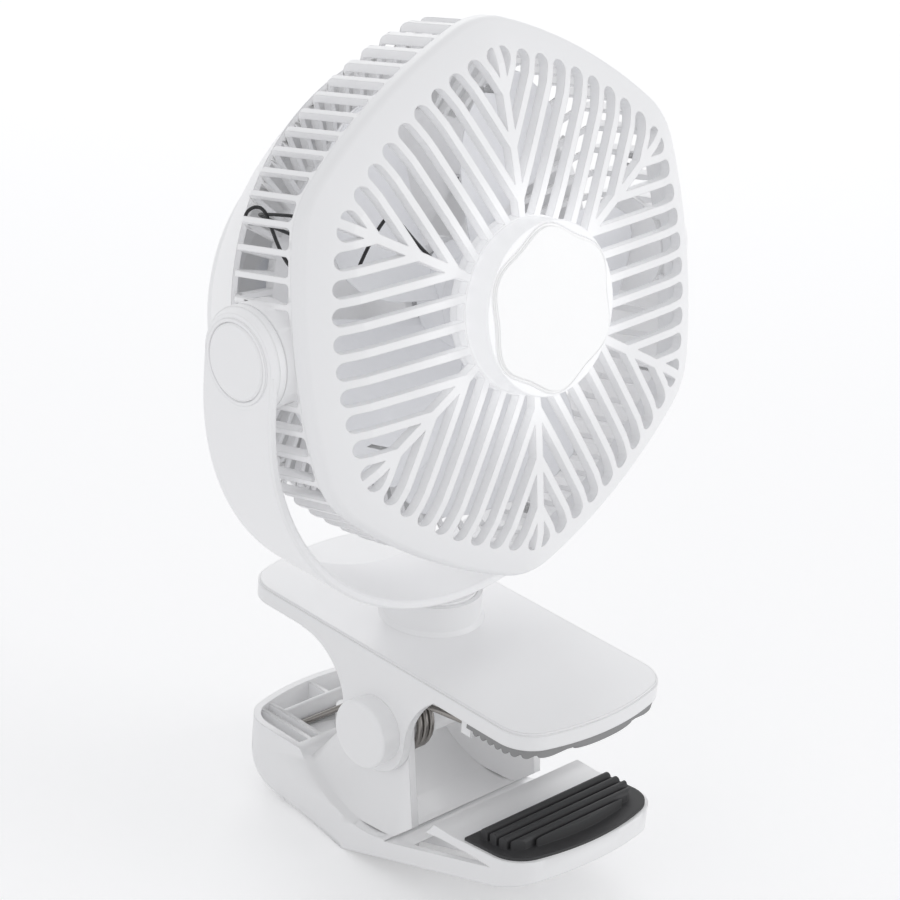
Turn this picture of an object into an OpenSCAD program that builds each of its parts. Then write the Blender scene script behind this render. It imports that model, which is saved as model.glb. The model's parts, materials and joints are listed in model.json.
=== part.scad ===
// Portable clip-on camping fan with a light in the hub.
// The fan looks towards -Y and +Z is up. The drawing below has z = 0 on the clip's
// top plate and moves to the middle of the grip at the end.

/* [Head] */
// Half width of the front bezel across the flats
bezel_flat = 80.75; // [77:0.25:83]
// Radius of the slightly bowed flats
flat_arc_r = 180; // [150:5:230]
// Radius of the bezel corners
corner_r = 27; // [24:1:32]
// Radius of the shallow front dome
dome_r = 630; // [500:10:900]
// Thickness of the front grille
grille_t = 3.2; // [2.4:0.2:4]
// Distance between neighbouring grille bars
bar_pitch = 7.9; // [7.6:0.1:8.1]
// Width of one grille bar
bar_w = 2.5; // [2:0.1:3.2]
// Depth of the bezel, apex to seam
seam_w = 14.75; // [14:0.25:16]
// Step from the bezel down to the drum
drum_step = 1.75; // [1:0.25:2.5]
// Wall of the slatted drum
drum_wall = 3; // [2.4:0.2:3.6]
// Rear face of the drum, from the apex
drum_rear = 58.5; // [56:0.5:60]
// Number of slats round the drum
slats = 66; // [54:2:72]
// Width of one slat
slat_w = 1.8; // [1.4:0.1:2.2]
// Radius of the rear pod
pod_r = 52; // [50:0.5:54]
// Drop of the pod below the fan axis
pod_drop = 8; // [5:0.5:9]
// Rear face of the pod, from the apex
pod_rear = 89; // [88:0.5:93]
// Wall of the pod
pod_wall = 2.2; // [1.8:0.1:2.6]
// Upward tilt of the head as it stands
tilt = 13.5; // [0:0.5:30]

/* [Light] */
// Radius of the hub that carries the light
hub_r = 29; // [28:0.25:30]
// Height of the hub in front of the dome apex
hub_rise = 6.5; // [5:0.25:8]
// Mean radius of the waved diffuser
lens_r = 25.5; // [24:0.25:26]
// Height of the waves of the diffuser
lens_wave = 1.2; // [0.6:0.1:1.6]
// Number of light chips
led_count = 12; // [8:1:16]

/* [Impeller] */
// Tip radius of the blades
blade_tip_r = 70; // [64:0.5:72]
// Number of blades
blades = 5; // [3:1:7]
// Axial depth of a blade at its tip
blade_depth = 19; // [14:0.5:20]
// Radius of the impeller hub
impeller_hub_r = 17; // [15:0.5:19]
// Radius of the motor shaft
shaft_r = 1.5; // [1.2:0.1:2]

/* [Yoke] */
// Height of the tilt axis above the clip plate
pivot_h = 110.3; // [108:0.5:116]
// Distance from the dome apex back to the tilt axis
pivot_back = 31.4; // [28:0.2:34]
// Outer radius of the yoke bow
yoke_r = 88; // [87.5:0.25:92]
// Thickness of the yoke strap
yoke_t = 3; // [2.4:0.1:3.2]
// Width of the yoke strap
yoke_w = 30; // [26:0.5:32]
// Radius of the round caps over the tilt screws
pivot_cap_r = 11.6; // [10:0.1:12]
// Radius of the swivel disc
swivel_r = 14; // [12:0.25:16]
// Height of the ring round the swivel disc
ring_h = 10; // [8:0.5:11]
// Place of the swivel axis along the plate
swivel_y = -1.3; // [-4:0.1:4]

/* [Clip] */
// Half width of the clip plates
plate_hw = 32.15; // [31.8:0.05:34]
// Front end of the upper plate
plate_front = 80; // [78:0.5:84]
// Rear end of the upper plate
plate_rear = 56; // [52:0.5:60]
// Height of the rim of the upper plate
plate_h = 5.75; // [5.5:0.05:6.25]
// Wall of the moulded clip parts
wall = 2.4; // [2:0.1:2.8]
// Place of the hinge pin along the plate
pin_y = -12.7; // [-14:0.1:-11]
// Depth of the hinge pin below the plate
pin_z = -25.8; // [-28:0.1:-24.5]
// Radius of the steel hinge pin
pin_r = 3; // [2.5:0.1:3.5]
// Radius of the hinge caps
pin_cap_r = 11.3; // [10:0.1:12]
// Wire of the torsion spring
wire_d = 2; // [1.6:0.1:2.2]
// Mean radius of the spring coils
coil_r = 10; // [9.6:0.1:10.6]

/* [Grip] */
// Centre of the gripped tube along the plate
grip_y = -64; // [-70:0.5:-58]
// Centre of the gripped tube below the plate
grip_z = -25; // [-28:0.5:-22]

/* [Hidden] */
$fn = 96;

gap = 0.3;
fit = 0.05;
eps = 0.01;
big = 400;

white = [0.93, 0.93, 0.94];
steel = [0.7, 0.7, 0.72];
grey = [0.72, 0.72, 0.73];
dark = [0.3, 0.3, 0.31];

// Rounded hexagon of the head: six bowed flats met by six corner arcs.
flat_c = flat_arc_r - bezel_flat;
corner_d = -flat_c * cos(30) + sqrt(pow(flat_arc_r - corner_r, 2) - pow(flat_c / 2, 2));
flat_half = atan2(corner_d * sin(30), corner_d * cos(30) + flat_c);

module hex2d(off) {
    for (k = [0:5]) rotate(60 * k) {
        intersection() {
            translate([-flat_c, 0]) circle(r = flat_arc_r + off, $fn = 720);
            polygon([[0, flat_c * tan(flat_half)], [big, (big + flat_c) * tan(flat_half)],
                [big, -(big + flat_c) * tan(flat_half)], [0, -flat_c * tan(flat_half)]]);
        }
        rotate(30) translate([corner_d, 0]) circle(r = corner_r + off);
    }
}

// Carries a profile (x outward from the outline, y along the axis) round it.
module hex_sweep() {
    for (k = [0:5]) rotate(60 * k) {
        translate([-flat_c, 0, 0])
            rotate_extrude(angle = 2 * flat_half, start = -flat_half, $fn = 720)
                translate([flat_arc_r, 0]) children();
        rotate(30) translate([corner_d, 0, 0])
            rotate_extrude(angle = 60 - 2 * flat_half, start = flat_half - 30)
                translate([corner_r, 0]) children();
    }
}

// Head frame: x to the right, y down, z back along the fan axis.
module head_place() {
    translate([0, swivel_y, pivot_h]) rotate([-tilt, 0, 0])
        translate([0, -pivot_back, 0]) rotate([-90, 0, 0]) children();
}

// ---- front grille ----
edge_r = 3.2;
edge_slope = 32;
brow_r = 48;
brow_w = 24;

// Section of the bezel: a rounded edge and a brow that runs out on the dome.
module bezel_profile() {
    edge_x = -edge_r * (1 - sin(edge_slope));
    brow_cx = edge_x - brow_r * sin(edge_slope);
    edge_top = seam_w - 2.5 - edge_r * cos(edge_slope);
    brow_cy = edge_top + brow_r * cos(edge_slope);
    intersection() {
        translate([brow_cx, brow_cy]) circle(r = brow_r, $fn = 360);
        translate([-brow_w, 0]) square([brow_w + edge_x, seam_w]);
    }
    intersection() {
        translate([-edge_r, edge_top + edge_r * cos(edge_slope)]) circle(r = edge_r);
        translate([edge_x - eps, 0]) square([edge_r, seam_w]);
    }
    translate([-brow_w, seam_w - 2.5]) square([brow_w, 2.5]);
}

module dome_solid(off, top) {
    intersection() {
        translate([0, 0, dome_r + off]) sphere(r = dome_r, $fn = 720);
        translate([0, 0, off - 1]) cylinder(r = 95, h = top - off + 1);
    }
}

spine_w = bar_w / cos(30) / 2;
slot_w = bar_pitch - bar_w;
slot_end = 73;
slot_end_arc = 250;
slots_half = 5;

function slot_far(v) = slot_end - v * v / slot_end_arc - slot_w / 2;

// The slots between the bars of one sixth, all parallel to its middle line.
module sector_slots() {
    intersection() {
        union() {
            for (s = [-1, 1], j = [0:slots_half - 1]) {
                v = s * (j + 0.5) * bar_pitch;
                translate([0, v - slot_w / 2]) square([slot_far(v), slot_w]);
                translate([slot_far(v), v]) circle(d = slot_w, $fn = 48);
            }
        }
        polygon([[2 * spine_w, 0], [big + 2 * spine_w, big * tan(30)],
            [big + 2 * spine_w, -big * tan(30)]]);
    }
}

module front_grille() {
    lip_in = drum_step + drum_wall + gap;
    lip_h = 3;
    notch = sqrt(pow(flange_r, 2) - pow(pivot_back - seam_w - lip_h, 2)) + 2 * gap;
    color(white) head_place() {
        difference() {
            union() {
                intersection() {
                    dome_solid(0, seam_w);
                    hex_sweep() bezel_profile();
                }
                intersection() {
                    dome_solid(0, seam_w);
                    translate([0, 0, -2]) linear_extrude(seam_w + 2) hex2d(-brow_w + 4);
                }
            }
            intersection() {
                dome_solid(grille_t, seam_w + 1);
                union() {
                    hex_sweep() translate([-wall, grille_t - 0.5]) bezel_profile();
                    translate([0, 0, -2]) linear_extrude(seam_w + 3) hex2d(-brow_w + 2);
                    translate([0, 0, seam_w - 1]) linear_extrude(3) hex2d(-wall);
                }
            }
            translate([0, 0, -5]) linear_extrude(30) difference() {
                for (k = [0:5]) rotate(60 * k) sector_slots();
                circle(r = hub_r + 1);
            }
            translate([0, 0, -hub_rise - 1]) cylinder(r = hub_r - 3, h = 20);
        }
        // hub that carries the light
        difference() {
            union() {
                translate([0, 0, -hub_rise + 1.2]) cylinder(r = hub_r, h = hub_rise + 6);
                translate([0, 0, -hub_rise]) cylinder(r = hub_r - 1.2, h = 3);
                translate([0, 0, -hub_rise + 1.2]) rotate_extrude()
                    translate([hub_r - 1.2, 0]) circle(r = 1.2, $fn = 48);
            }
            translate([0, 0, -hub_rise - 1]) linear_extrude(2.2) lens2d(gap);
            translate([0, 0, -hub_rise - 1]) cylinder(r = lens_r - lens_wave - 1.6, h = 30);
            translate([0, 0, -hub_rise + 4.2]) cylinder(r = hub_r - 3, h = 20);
        }
        // lip that centres the grille in the drum, open at the pivot flanges
        difference() {
            hex_sweep() translate([-lip_in - 1.6, seam_w - 3.5]) square([1.6, 3.5 + lip_h]);
            translate([-bezel_flat, -notch, seam_w + gap]) cube([2 * bezel_flat, 2 * notch, lip_h]);
        }
        hex_sweep() translate([-lip_in - 1.6, seam_w - 3.5]) square([lip_in - wall + 1.8, 1.4]);
    }
}

module lens2d(off) {
    n = 144;
    polygon([for (i = [0:n - 1]) let (a = 360 * i / n,
        r = lens_r + off + lens_wave * cos(6 * (a - 30))) [r * cos(a), r * sin(a)]]);
}

lens_top = -hub_rise - 1;
lens_seat = -hub_rise + 1.2;

module led_lens() {
    color([0.98, 0.98, 0.96]) head_place() {
        translate([0, 0, lens_top + 0.8]) linear_extrude(lens_seat - lens_top - 0.8) lens2d(0);
        translate([0, 0, lens_top]) linear_extrude(0.8) lens2d(-0.8);
        translate([0, 0, lens_seat - eps])
            cylinder(r = lens_r - lens_wave - 1.6 - gap / 3, h = 1.6);
    }
}

board_z = -hub_rise + 7;
board_t = 1.6;
board_r = hub_r - 3 - gap;

module led_board() {
    color([0.9, 0.9, 0.88]) head_place() difference() {
        translate([0, 0, board_z]) cylinder(r = board_r, h = board_t);
        for (a = [0, 120, 240]) rotate(a) translate([hub_r - 6, 0, board_z - 1])
            cylinder(r = 1.3, h = 4);
    }
}

module led_chips() {
    chip = [2.8, 3.5, 0.8];
    color([0.95, 0.9, 0.55]) head_place()
        for (i = [0:led_count - 1]) rotate(360 * i / led_count + 15)
            translate([16, 0, board_z - chip[2] / 2]) cube(chip, center = true);
}

cover_z = board_z + board_t;
lead_hole_r = 2.1;

module hub_cover() {
    color(white) head_place() difference() {
        union() {
            translate([0, 0, cover_z]) cylinder(r = board_r, h = 2);
            translate([0, 0, cover_z + 2 - eps]) cylinder(r1 = 22, r2 = 18, h = 3);
        }
        translate([0, 0, cover_z - eps]) cylinder(r = 17, h = 3.4);
        rotate(210) translate([14, 0, cover_z]) cylinder(r = lead_hole_r, h = 8);
    }
}

// ---- drum ----
seam_gap = 0.25;
drum_front = seam_w + seam_gap;
front_ring = 2.75;
shoulder_r = 16;
shoulder_w = drum_rear - shoulder_r;
drum_r = 84;
flange_r = 16;
flange_x = 82.9;
cup_r = 17;
motor_r = 14;
motor_front = 34;
motor_rear = 56;
vent_in = 54;

module drum_body(in) {
    intersection() {
        translate([0, 0, drum_front - (in > 0 ? 1 : 0)])
            linear_extrude(drum_rear - drum_front - in + (in > 0 ? 1 : 0)) hex2d(-drum_step - in);
        union() {
            translate([0, 0, drum_front - 2])
                cylinder(r = drum_r + 6 - in, h = shoulder_w - drum_front + 2);
            translate([0, 0, shoulder_w - eps]) rotate_extrude() {
                square([drum_r + 6 - shoulder_r, shoulder_r - in]);
                intersection() {
                    translate([drum_r + 6 - shoulder_r, 0]) circle(r = shoulder_r - in);
                    translate([drum_r - shoulder_r, 0]) square([shoulder_r + 6, shoulder_r]);
                }
            }
        }
    }
}

// One opening between two slats: parallel slat sides, a round front end.
module slat_slot() {
    half = 180 / slats;
    w_in = vent_in * sin(half) - slat_w / 2;
    w_out = 92 * sin(half) - slat_w / 2;
    end_r = 80 * sin(half) - slat_w / 2;
    translate([0, 0, drum_front + front_ring + end_r])
        linear_extrude(60) polygon([[vent_in, w_in], [92, w_out], [92, -w_out], [vent_in, -w_in]]);
    translate([65, 0, drum_front + front_ring + end_r]) rotate([0, 90, 0])
        cylinder(r = end_r, h = 27, $fn = 32);
}

module rear_housing() {
    color(white) head_place() difference() {
        union() {
            difference() {
                drum_body(0);
                drum_body(drum_wall);
                for (i = [0:slats - 1]) rotate(360 * (i + 0.5) / slats) slat_slot();
            }
            // solid middle of the rear face and the motor cup
            translate([0, 0, drum_rear - drum_wall]) cylinder(r = vent_in + 0.5, h = drum_wall);
            translate([0, 0, motor_front + 3])
                cylinder(r = cup_r, h = drum_rear - motor_front - 3 - eps);
            for (a = [45:90:315]) rotate(a) translate([cup_r - 1, -1, drum_rear - 14])
                cube([18, 2, 13]);
            // flanges that face the yoke
            for (s = [-1, 1]) translate([s * (flange_x - 9), 0, pivot_back]) rotate([0, s * 90, 0])
                cylinder(r = flange_r, h = 9);
        }
        translate([0, 0, motor_front]) cylinder(r = motor_r, h = motor_rear - motor_front);
        translate([0, 0, motor_rear - 1]) cylinder(r = 9, h = 10);
        for (s = [-1, 1]) translate([s * 60, 0, pivot_back]) rotate([0, s * 90, 0])
            cylinder(r = screw_r, h = 30);
        rotate(210) translate([40, 0, drum_rear - 5]) cylinder(r = lead_hole_r, h = 10);
        for (p = pod_screw_at) translate([p[0], p[1], drum_rear - 5]) cylinder(r = 1.5, h = 10);
    }
}

// ---- pod behind the drum ----
pod_edge = 10;
pod_screw_at = [for (a = [40, 140, 235, 305])
    [43.5 * cos(a), pod_drop + 43.5 * sin(a)]];
button_at = [[0, -8], [0, 14]];
button_r = [7.5, 6];
light_at = 30;
usb_w = 9;
usb_t = 3.3;
pcb_z = pod_rear - 8.5;
pcb_t = 1.6;
usb_z = pcb_z - usb_t / 2;
pcb_post = [[-19, -17], [19, -17], [-19, 46], [19, 46]];

module pod_body(in) {
    rotate_extrude() {
        square([pod_r - in, pod_rear - drum_rear - pod_edge]);
        translate([0, pod_rear - drum_rear - pod_edge - eps])
            square([pod_r - pod_edge, pod_edge - in]);
        intersection() {
            translate([pod_r - pod_edge, pod_rear - drum_rear - pod_edge])
                circle(r = pod_edge - in);
            translate([pod_r - pod_edge - eps, pod_rear - drum_rear - pod_edge - eps])
                square([pod_edge + 1, pod_edge + 1]);
        }
    }
}

module rear_pod() {
    color(white) head_place() difference() {
        union() {
            difference() {
                translate([0, pod_drop, drum_rear]) pod_body(0);
                translate([0, pod_drop, drum_rear - eps]) pod_body(pod_wall);
            }
            for (p = pod_screw_at) translate([p[0], p[1], drum_rear])
                cylinder(r = 3.6, h = pod_rear - drum_rear - 3);
            for (p = pcb_post) translate([p[0], p[1], pcb_z + pcb_t])
                cylinder(r = 2.6, h = pod_rear - 1 - pcb_z - pcb_t);
            for (i = [0, 1]) translate([button_at[i][0], button_at[i][1], pod_rear - 4])
                cylinder(r = button_r[i] + 1.8, h = 3);
        }
        for (p = pod_screw_at) translate([p[0], p[1], drum_rear - 1]) cylinder(r = 1.25, h = 14);
        for (i = [0, 1]) translate([button_at[i][0], button_at[i][1], pod_rear - 6])
            cylinder(r = button_r[i] + gap, h = 10);
        for (k = [0:3]) translate([(k - 1.5) * 5, light_at, pod_rear - 6])
            cylinder(r = 1 + gap / 3, h = 10, $fn = 32);
        translate([-usb_w / 2 - gap, pod_drop + pod_r - 12, usb_z - usb_t / 2 - gap])
            cube([usb_w + 2 * gap, 20, usb_t + 2 * gap]);
    }
}

module pod_screws() {
    color(steel) head_place() for (p = pod_screw_at) translate([p[0], p[1], drum_rear]) {
        translate([0, 0, -drum_wall]) cylinder(r = 1.25, h = 10);
        translate([0, 0, -drum_wall - 1.8]) difference() {
            cylinder(r = 2.6, h = 1.8);
            translate([0, 0, -1]) for (a = [0, 90]) rotate(a)
                translate([-1.8, -0.4, 0]) cube([3.6, 0.8, 2]);
        }
    }
}

module motor() {
    color(steel) head_place() difference() {
        union() {
            translate([0, 0, motor_front]) cylinder(r = motor_r, h = motor_rear - motor_front);
            translate([0, 0, motor_front - 1.5]) cylinder(r = 4.5, h = 2);
            for (s = [-1, 1]) translate([s * 5 - 0.3, -1.5, motor_rear - eps])
                cube([0.6, 3, 4]);
        }
        translate([0, 0, motor_front - 5]) cylinder(r = shaft_r + fit, h = 25);
        for (a = [0:60:300]) rotate(a) translate([9.5, 0, motor_front - 1])
            cylinder(r = 1.6, h = 2, $fn = 32);
    }
}

shaft_front = 19.5;

module motor_shaft() {
    color(steel) head_place() translate([0, 0, shaft_front])
        cylinder(r = shaft_r, h = motor_front + 18 - shaft_front);
}

// ---- impeller ----
blade_root = impeller_hub_r - 1.5;
blade_mid = 28.5;
blade_t = 1.6;
blade_n = 9;
blade_m = 8;
hub_front = 16.5;
hub_back = 31.5;

function blade_span(f) = 50 + 12 * sin(180 * f);
function blade_h(f) = 13 + (blade_depth - 13) * f;
function blade_z(t, f) = blade_mid + blade_h(f) * (t - 0.5) + 3 * f * sin(180 * t);
function blade_pt(i, j, s) = let (f = i / blade_n, t = j / blade_m,
    r = blade_root + (blade_tip_r - blade_root) * f
        - 5 * pow(f, 6) * pow(abs(2 * t - 1), 4),
    a = blade_span(f) * (t - 0.5) + 14 * f,
    edge = 0.25 + 0.75 * sin(180 * t))
    [r * cos(a), r * sin(a), blade_z(t, f) + s * blade_t / 2 * edge];

module blade() {
    row = blade_m + 1;
    side = (blade_n + 1) * row;
    pts = [for (s = [-1, 1], i = [0:blade_n], j = [0:blade_m]) blade_pt(i, j, s)];
    function at(s, i, j) = s * side + i * row + j;
    faces = concat(
        [for (i = [0:blade_n - 1], j = [0:blade_m - 1], h = [0, 1]) h == 0
            ? [at(0, i, j), at(0, i + 1, j), at(0, i + 1, j + 1)]
            : [at(0, i, j), at(0, i + 1, j + 1), at(0, i, j + 1)]],
        [for (i = [0:blade_n - 1], j = [0:blade_m - 1], h = [0, 1]) h == 0
            ? [at(1, i, j), at(1, i + 1, j + 1), at(1, i + 1, j)]
            : [at(1, i, j), at(1, i, j + 1), at(1, i + 1, j + 1)]],
        [for (j = [0:blade_m - 1], h = [0, 1]) h == 0
            ? [at(0, 0, j), at(0, 0, j + 1), at(1, 0, j + 1)]
            : [at(0, 0, j), at(1, 0, j + 1), at(1, 0, j)]],
        [for (j = [0:blade_m - 1], h = [0, 1]) h == 0
            ? [at(0, blade_n, j), at(1, blade_n, j), at(1, blade_n, j + 1)]
            : [at(0, blade_n, j), at(1, blade_n, j + 1), at(0, blade_n, j + 1)]],
        [for (i = [0:blade_n - 1], h = [0, 1]) h == 0
            ? [at(0, i, 0), at(1, i, 0), at(1, i + 1, 0)]
            : [at(0, i, 0), at(1, i + 1, 0), at(0, i + 1, 0)]],
        [for (i = [0:blade_n - 1], h = [0, 1]) h == 0
            ? [at(0, i, blade_m), at(0, i + 1, blade_m), at(1, i + 1, blade_m)]
            : [at(0, i, blade_m), at(1, i + 1, blade_m), at(1, i, blade_m)]]);
    polyhedron(points = pts, faces = faces);
}

module impeller() {
    color([0.9, 0.91, 0.94]) head_place() difference() {
        union() {
            translate([0, 0, hub_front + 4]) cylinder(r = impeller_hub_r, h = hub_back - hub_front - 4);
            translate([0, 0, hub_front]) intersection() {
                cylinder(r = impeller_hub_r, h = 4 + eps);
                translate([0, 0, 38]) sphere(r = 38);
            }
            for (i = [0:blades - 1]) rotate(360 * i / blades) blade();
        }
        difference() {
            translate([0, 0, hub_front + 6]) cylinder(r = impeller_hub_r - 2, h = 20);
            translate([0, 0, hub_front]) cylinder(r = 4.5, h = 15);
            for (a = [0:72:288]) rotate(a) translate([0, -0.6, hub_front]) cube([20, 1.2, 13]);
        }
        translate([0, 0, shaft_front]) cylinder(r = shaft_r, h = 30);
    }
}

// ---- inside the pod ----
cell_r = 9.1;
cell_l = 65;
cell_z = drum_rear + 2 + cell_r;
cell_y = [-4, 16];

module battery_cells() {
    color([0.35, 0.55, 0.75]) head_place() for (y = cell_y)
        translate([-cell_l / 2, y, cell_z]) rotate([0, 90, 0]) {
            cylinder(r = cell_r, h = cell_l - 1);
            translate([0, 0, cell_l - 1.1]) cylinder(r = 3, h = 1.1);
        }
}

module battery_holder() {
    color([0.25, 0.25, 0.27]) head_place() difference() {
        translate([-cell_l / 2 - 3, cell_y[0] - cell_r - 2, drum_rear])
            cube([cell_l + 6, cell_y[1] - cell_y[0] + 2 * cell_r + 4, 9]);
        for (y = cell_y) translate([-cell_l / 2 - gap / 3, y, cell_z]) rotate([0, 90, 0])
            cylinder(r = cell_r + gap / 3, h = cell_l + gap);
        translate([0, 0, drum_rear - 1]) cylinder(r = 9, h = 12);
    }
}

module control_board() {
    color([0.12, 0.4, 0.22]) head_place() difference() {
        union() {
            translate([-22, -20, pcb_z]) cube([44, 70, pcb_t]);
            translate([-7, 49, pcb_z]) cube([14, 7, pcb_t]);
            for (i = [0, 1]) translate([button_at[i][0] - 3, button_at[i][1] - 3, pcb_z + pcb_t - eps])
                cube([6, 6, 1.5]);
            for (x = [-14, 12]) translate([x, 22, pcb_z + pcb_t - eps]) cube([6, 5, 1]);
            for (p = [[-15, -10], [15, -10], [14, 6]]) translate([p[0], p[1], pcb_z - 2])
                cylinder(r = 2, h = 2.1, $fn = 32);
        }
        for (p = pcb_post) translate([p[0], p[1], pcb_z - 1]) cylinder(r = 1.2, h = 4);
    }
}

module usb_port() {
    depth = 7.4;
    y0 = 49.5;
    color(steel) head_place() difference() {
        translate([-usb_w / 2, y0, usb_z - usb_t / 2]) cube([usb_w, depth, usb_t]);
        difference() {
            translate([-usb_w / 2 + 0.4, y0 + 1, usb_z - usb_t / 2 + 0.4])
                cube([usb_w - 0.8, depth, usb_t - 0.8]);
            translate([-usb_w / 2 + 1.4, y0, usb_z - 0.35]) cube([usb_w - 2.8, depth - 1, 0.7]);
        }
    }
}

press_travel = 0.8;
button_in = pcb_z + pcb_t + 1.5 + press_travel;

module push_button(i) {
    head_place() translate([button_at[i][0], button_at[i][1], 0]) {
        translate([0, 0, button_in]) cylinder(r = button_r[i], h = pod_rear + 0.7 - button_in);
        translate([0, 0, pod_rear + 0.7 - eps])
            cylinder(r1 = button_r[i], r2 = button_r[i] - 0.5, h = 0.5);
    }
}

module speed_button() {
    color(grey) push_button(0);
}

module light_button() {
    color(grey) push_button(1);
}

module charge_lights() {
    color([0.6, 0.8, 0.95]) head_place() for (k = [0:3])
        translate([(k - 1.5) * 5, light_at, pcb_z + pcb_t])
            cylinder(r = 1, h = pod_rear + 0.2 - pcb_z - pcb_t, $fn = 32);
}

// Sweeps a round wire along a path; side is a direction the path never takes.
function path_dir(path, i) = let (n = len(path) - 1,
    a = path[min(i + 1, n)] - path[i], b = path[i] - path[max(i - 1, 0)],
    v = (norm(a) > 0 ? a / norm(a) : a) + (norm(b) > 0 ? b / norm(b) : b)) v / norm(v);

function wire_pt(path, i, k, r, sides, side) = let (t = path_dir(path, i),
    u = cross(t, side) / norm(cross(t, side)), w = cross(t, u), a = 360 * k / sides)
    path[i] + r * (cos(a) * u + sin(a) * w);

module wire_sweep(path, r, sides, side) {
    n = len(path);
    polyhedron(
        points = [for (i = [0:n - 1], k = [0:sides - 1]) wire_pt(path, i, k, r, sides, side)],
        faces = concat([[for (k = [sides - 1:-1:0]) k]],
            [for (i = [0:n - 2], k = [0:sides - 1], h = [0, 1]) let (k2 = (k + 1) % sides)
                h == 0 ? [i * sides + k, i * sides + k2, (i + 1) * sides + k2]
                : [i * sides + k, (i + 1) * sides + k2, (i + 1) * sides + k]],
            [[for (k = [0:sides - 1]) (n - 1) * sides + k]]));
}

// Two leads from the light, out behind the grille and back along the drum.
wire_r = 0.8;
wire_path = [[14, cover_z + 0.4], [14, cover_z + 5.4], [17, cover_z + 7.4], [50, 11.5],
    [68, 14], [76.5, 20.5], [77, 47], [72, 52], [44, 53.2], [40, 55], [40, 74],
    [27, 78], [25, pcb_z - 0.1]];

module led_wires() {
    color(dark) head_place() for (s = [-1, 1]) rotate(210)
        wire_sweep([for (p = wire_path) [p[0], s * (wire_r + 0.1), p[1]]], wire_r, 8, [0, 1, 0]);
}

// ---- yoke ----
bow_z = yoke_r + 12;
screw_r = 2.5;
knuckle_x = flange_x + 0.4;
cap_seat = yoke_r - 1.6;
cap_face = yoke_r + 1;
rim_r = 13;

module strap_section() {
    c = 0.7;
    a = yoke_r - yoke_t;
    h = yoke_w / 2;
    polygon([[a + c, -h], [yoke_r - c, -h], [yoke_r, c - h], [yoke_r, h - c],
        [yoke_r - c, h], [a + c, h], [a, h - c], [a, c - h]]);
}

stem_r = 6;
stem_end = -plate_h - 1;

module yoke() {
    color(white) translate([0, swivel_y, 0]) difference() {
        union() {
            translate([0, 0, bow_z]) rotate([90, 0, 0])
                rotate_extrude(angle = 180, start = 180, $fn = 180) strap_section();
            for (s = [0, 1]) mirror([s, 0, 0]) {
                translate([0, 0, bow_z]) linear_extrude(pivot_h - bow_z) strap_section();
                translate([knuckle_x, 0, pivot_h]) rotate([0, 90, 0]) {
                    cylinder(r = flange_r, h = 2.4);
                    translate([0, 0, 2.4 - eps])
                        cylinder(r1 = flange_r - 0.3, r2 = yoke_w / 2 - 0.6, h = yoke_r - knuckle_x - 2.4);
                    cylinder(r = rim_r, h = yoke_r + 0.7 - knuckle_x);
                }
            }
            translate([0, 0, 1]) cylinder(r = swivel_r, h = ring_h - 0.2);
            translate([0, 0, ring_h - 0.8]) cylinder(r1 = swivel_r - 0.8, r2 = swivel_r - 4, h = 3.6);
            translate([0, 0, stem_end]) cylinder(r = stem_r, h = 10);
        }
        for (s = [0, 1]) mirror([s, 0, 0]) translate([0, 0, pivot_h]) rotate([0, 90, 0]) {
            cylinder(r = screw_r + fit, h = 100);
            translate([0, 0, cap_seat]) cylinder(r = pivot_cap_r + gap, h = 10);
            translate([0, 0, cap_seat - 1.8]) cylinder(r = 5, h = 4);
        }
        translate([0, 0, stem_end - 1]) cylinder(r = 2, h = 14);
    }
}

module pivot_screws() {
    color(steel) translate([0, swivel_y, pivot_h]) rotate([-tilt, 0, 0])
        for (s = [0, 1]) mirror([s, 0, 0]) rotate([0, 90, 0]) {
            translate([0, 0, flange_x - 8.5]) cylinder(r = screw_r, h = cap_seat - gap - flange_x + 8.5);
            translate([0, 0, cap_seat - 1.5]) cylinder(r = 4.4, h = 1.2);
        }
}

module pivot_caps() {
    color(white) translate([0, swivel_y, pivot_h])
        for (s = [0, 1]) mirror([s, 0, 0]) translate([cap_seat, 0, 0]) rotate([0, 90, 0]) {
            cylinder(r = pivot_cap_r, h = cap_face - cap_seat - 0.5);
            translate([0, 0, cap_face - cap_seat - 0.5 - eps])
                cylinder(r1 = pivot_cap_r, r2 = pivot_cap_r - 0.5, h = 0.5);
        }
}

module swivel_washer() {
    color(steel) translate([0, swivel_y, stem_end - 1.2]) difference() {
        cylinder(r = 9, h = 1.2);
        translate([0, 0, -1]) cylinder(r = 2, h = 4);
    }
}

module swivel_screw() {
    color(steel) translate([0, swivel_y, stem_end - 1.2]) difference() {
        union() {
            cylinder(r = 2, h = 12);
            translate([0, 0, -2.4]) cylinder(r = 3.8, h = 2.4);
        }
        translate([0, 0, -3]) for (a = [0, 90]) rotate(a) translate([-2.2, -0.5, 0])
            cube([4.4, 1, 2]);
    }
}

// ---- clip plates: straight sides, bowed ends, round corners ----
end_arc_r = 85;
plate_cr = 12;

function end_back(off) = sqrt(pow(end_arc_r - plate_cr, 2) - pow(plate_hw - plate_cr, 2));

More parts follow.
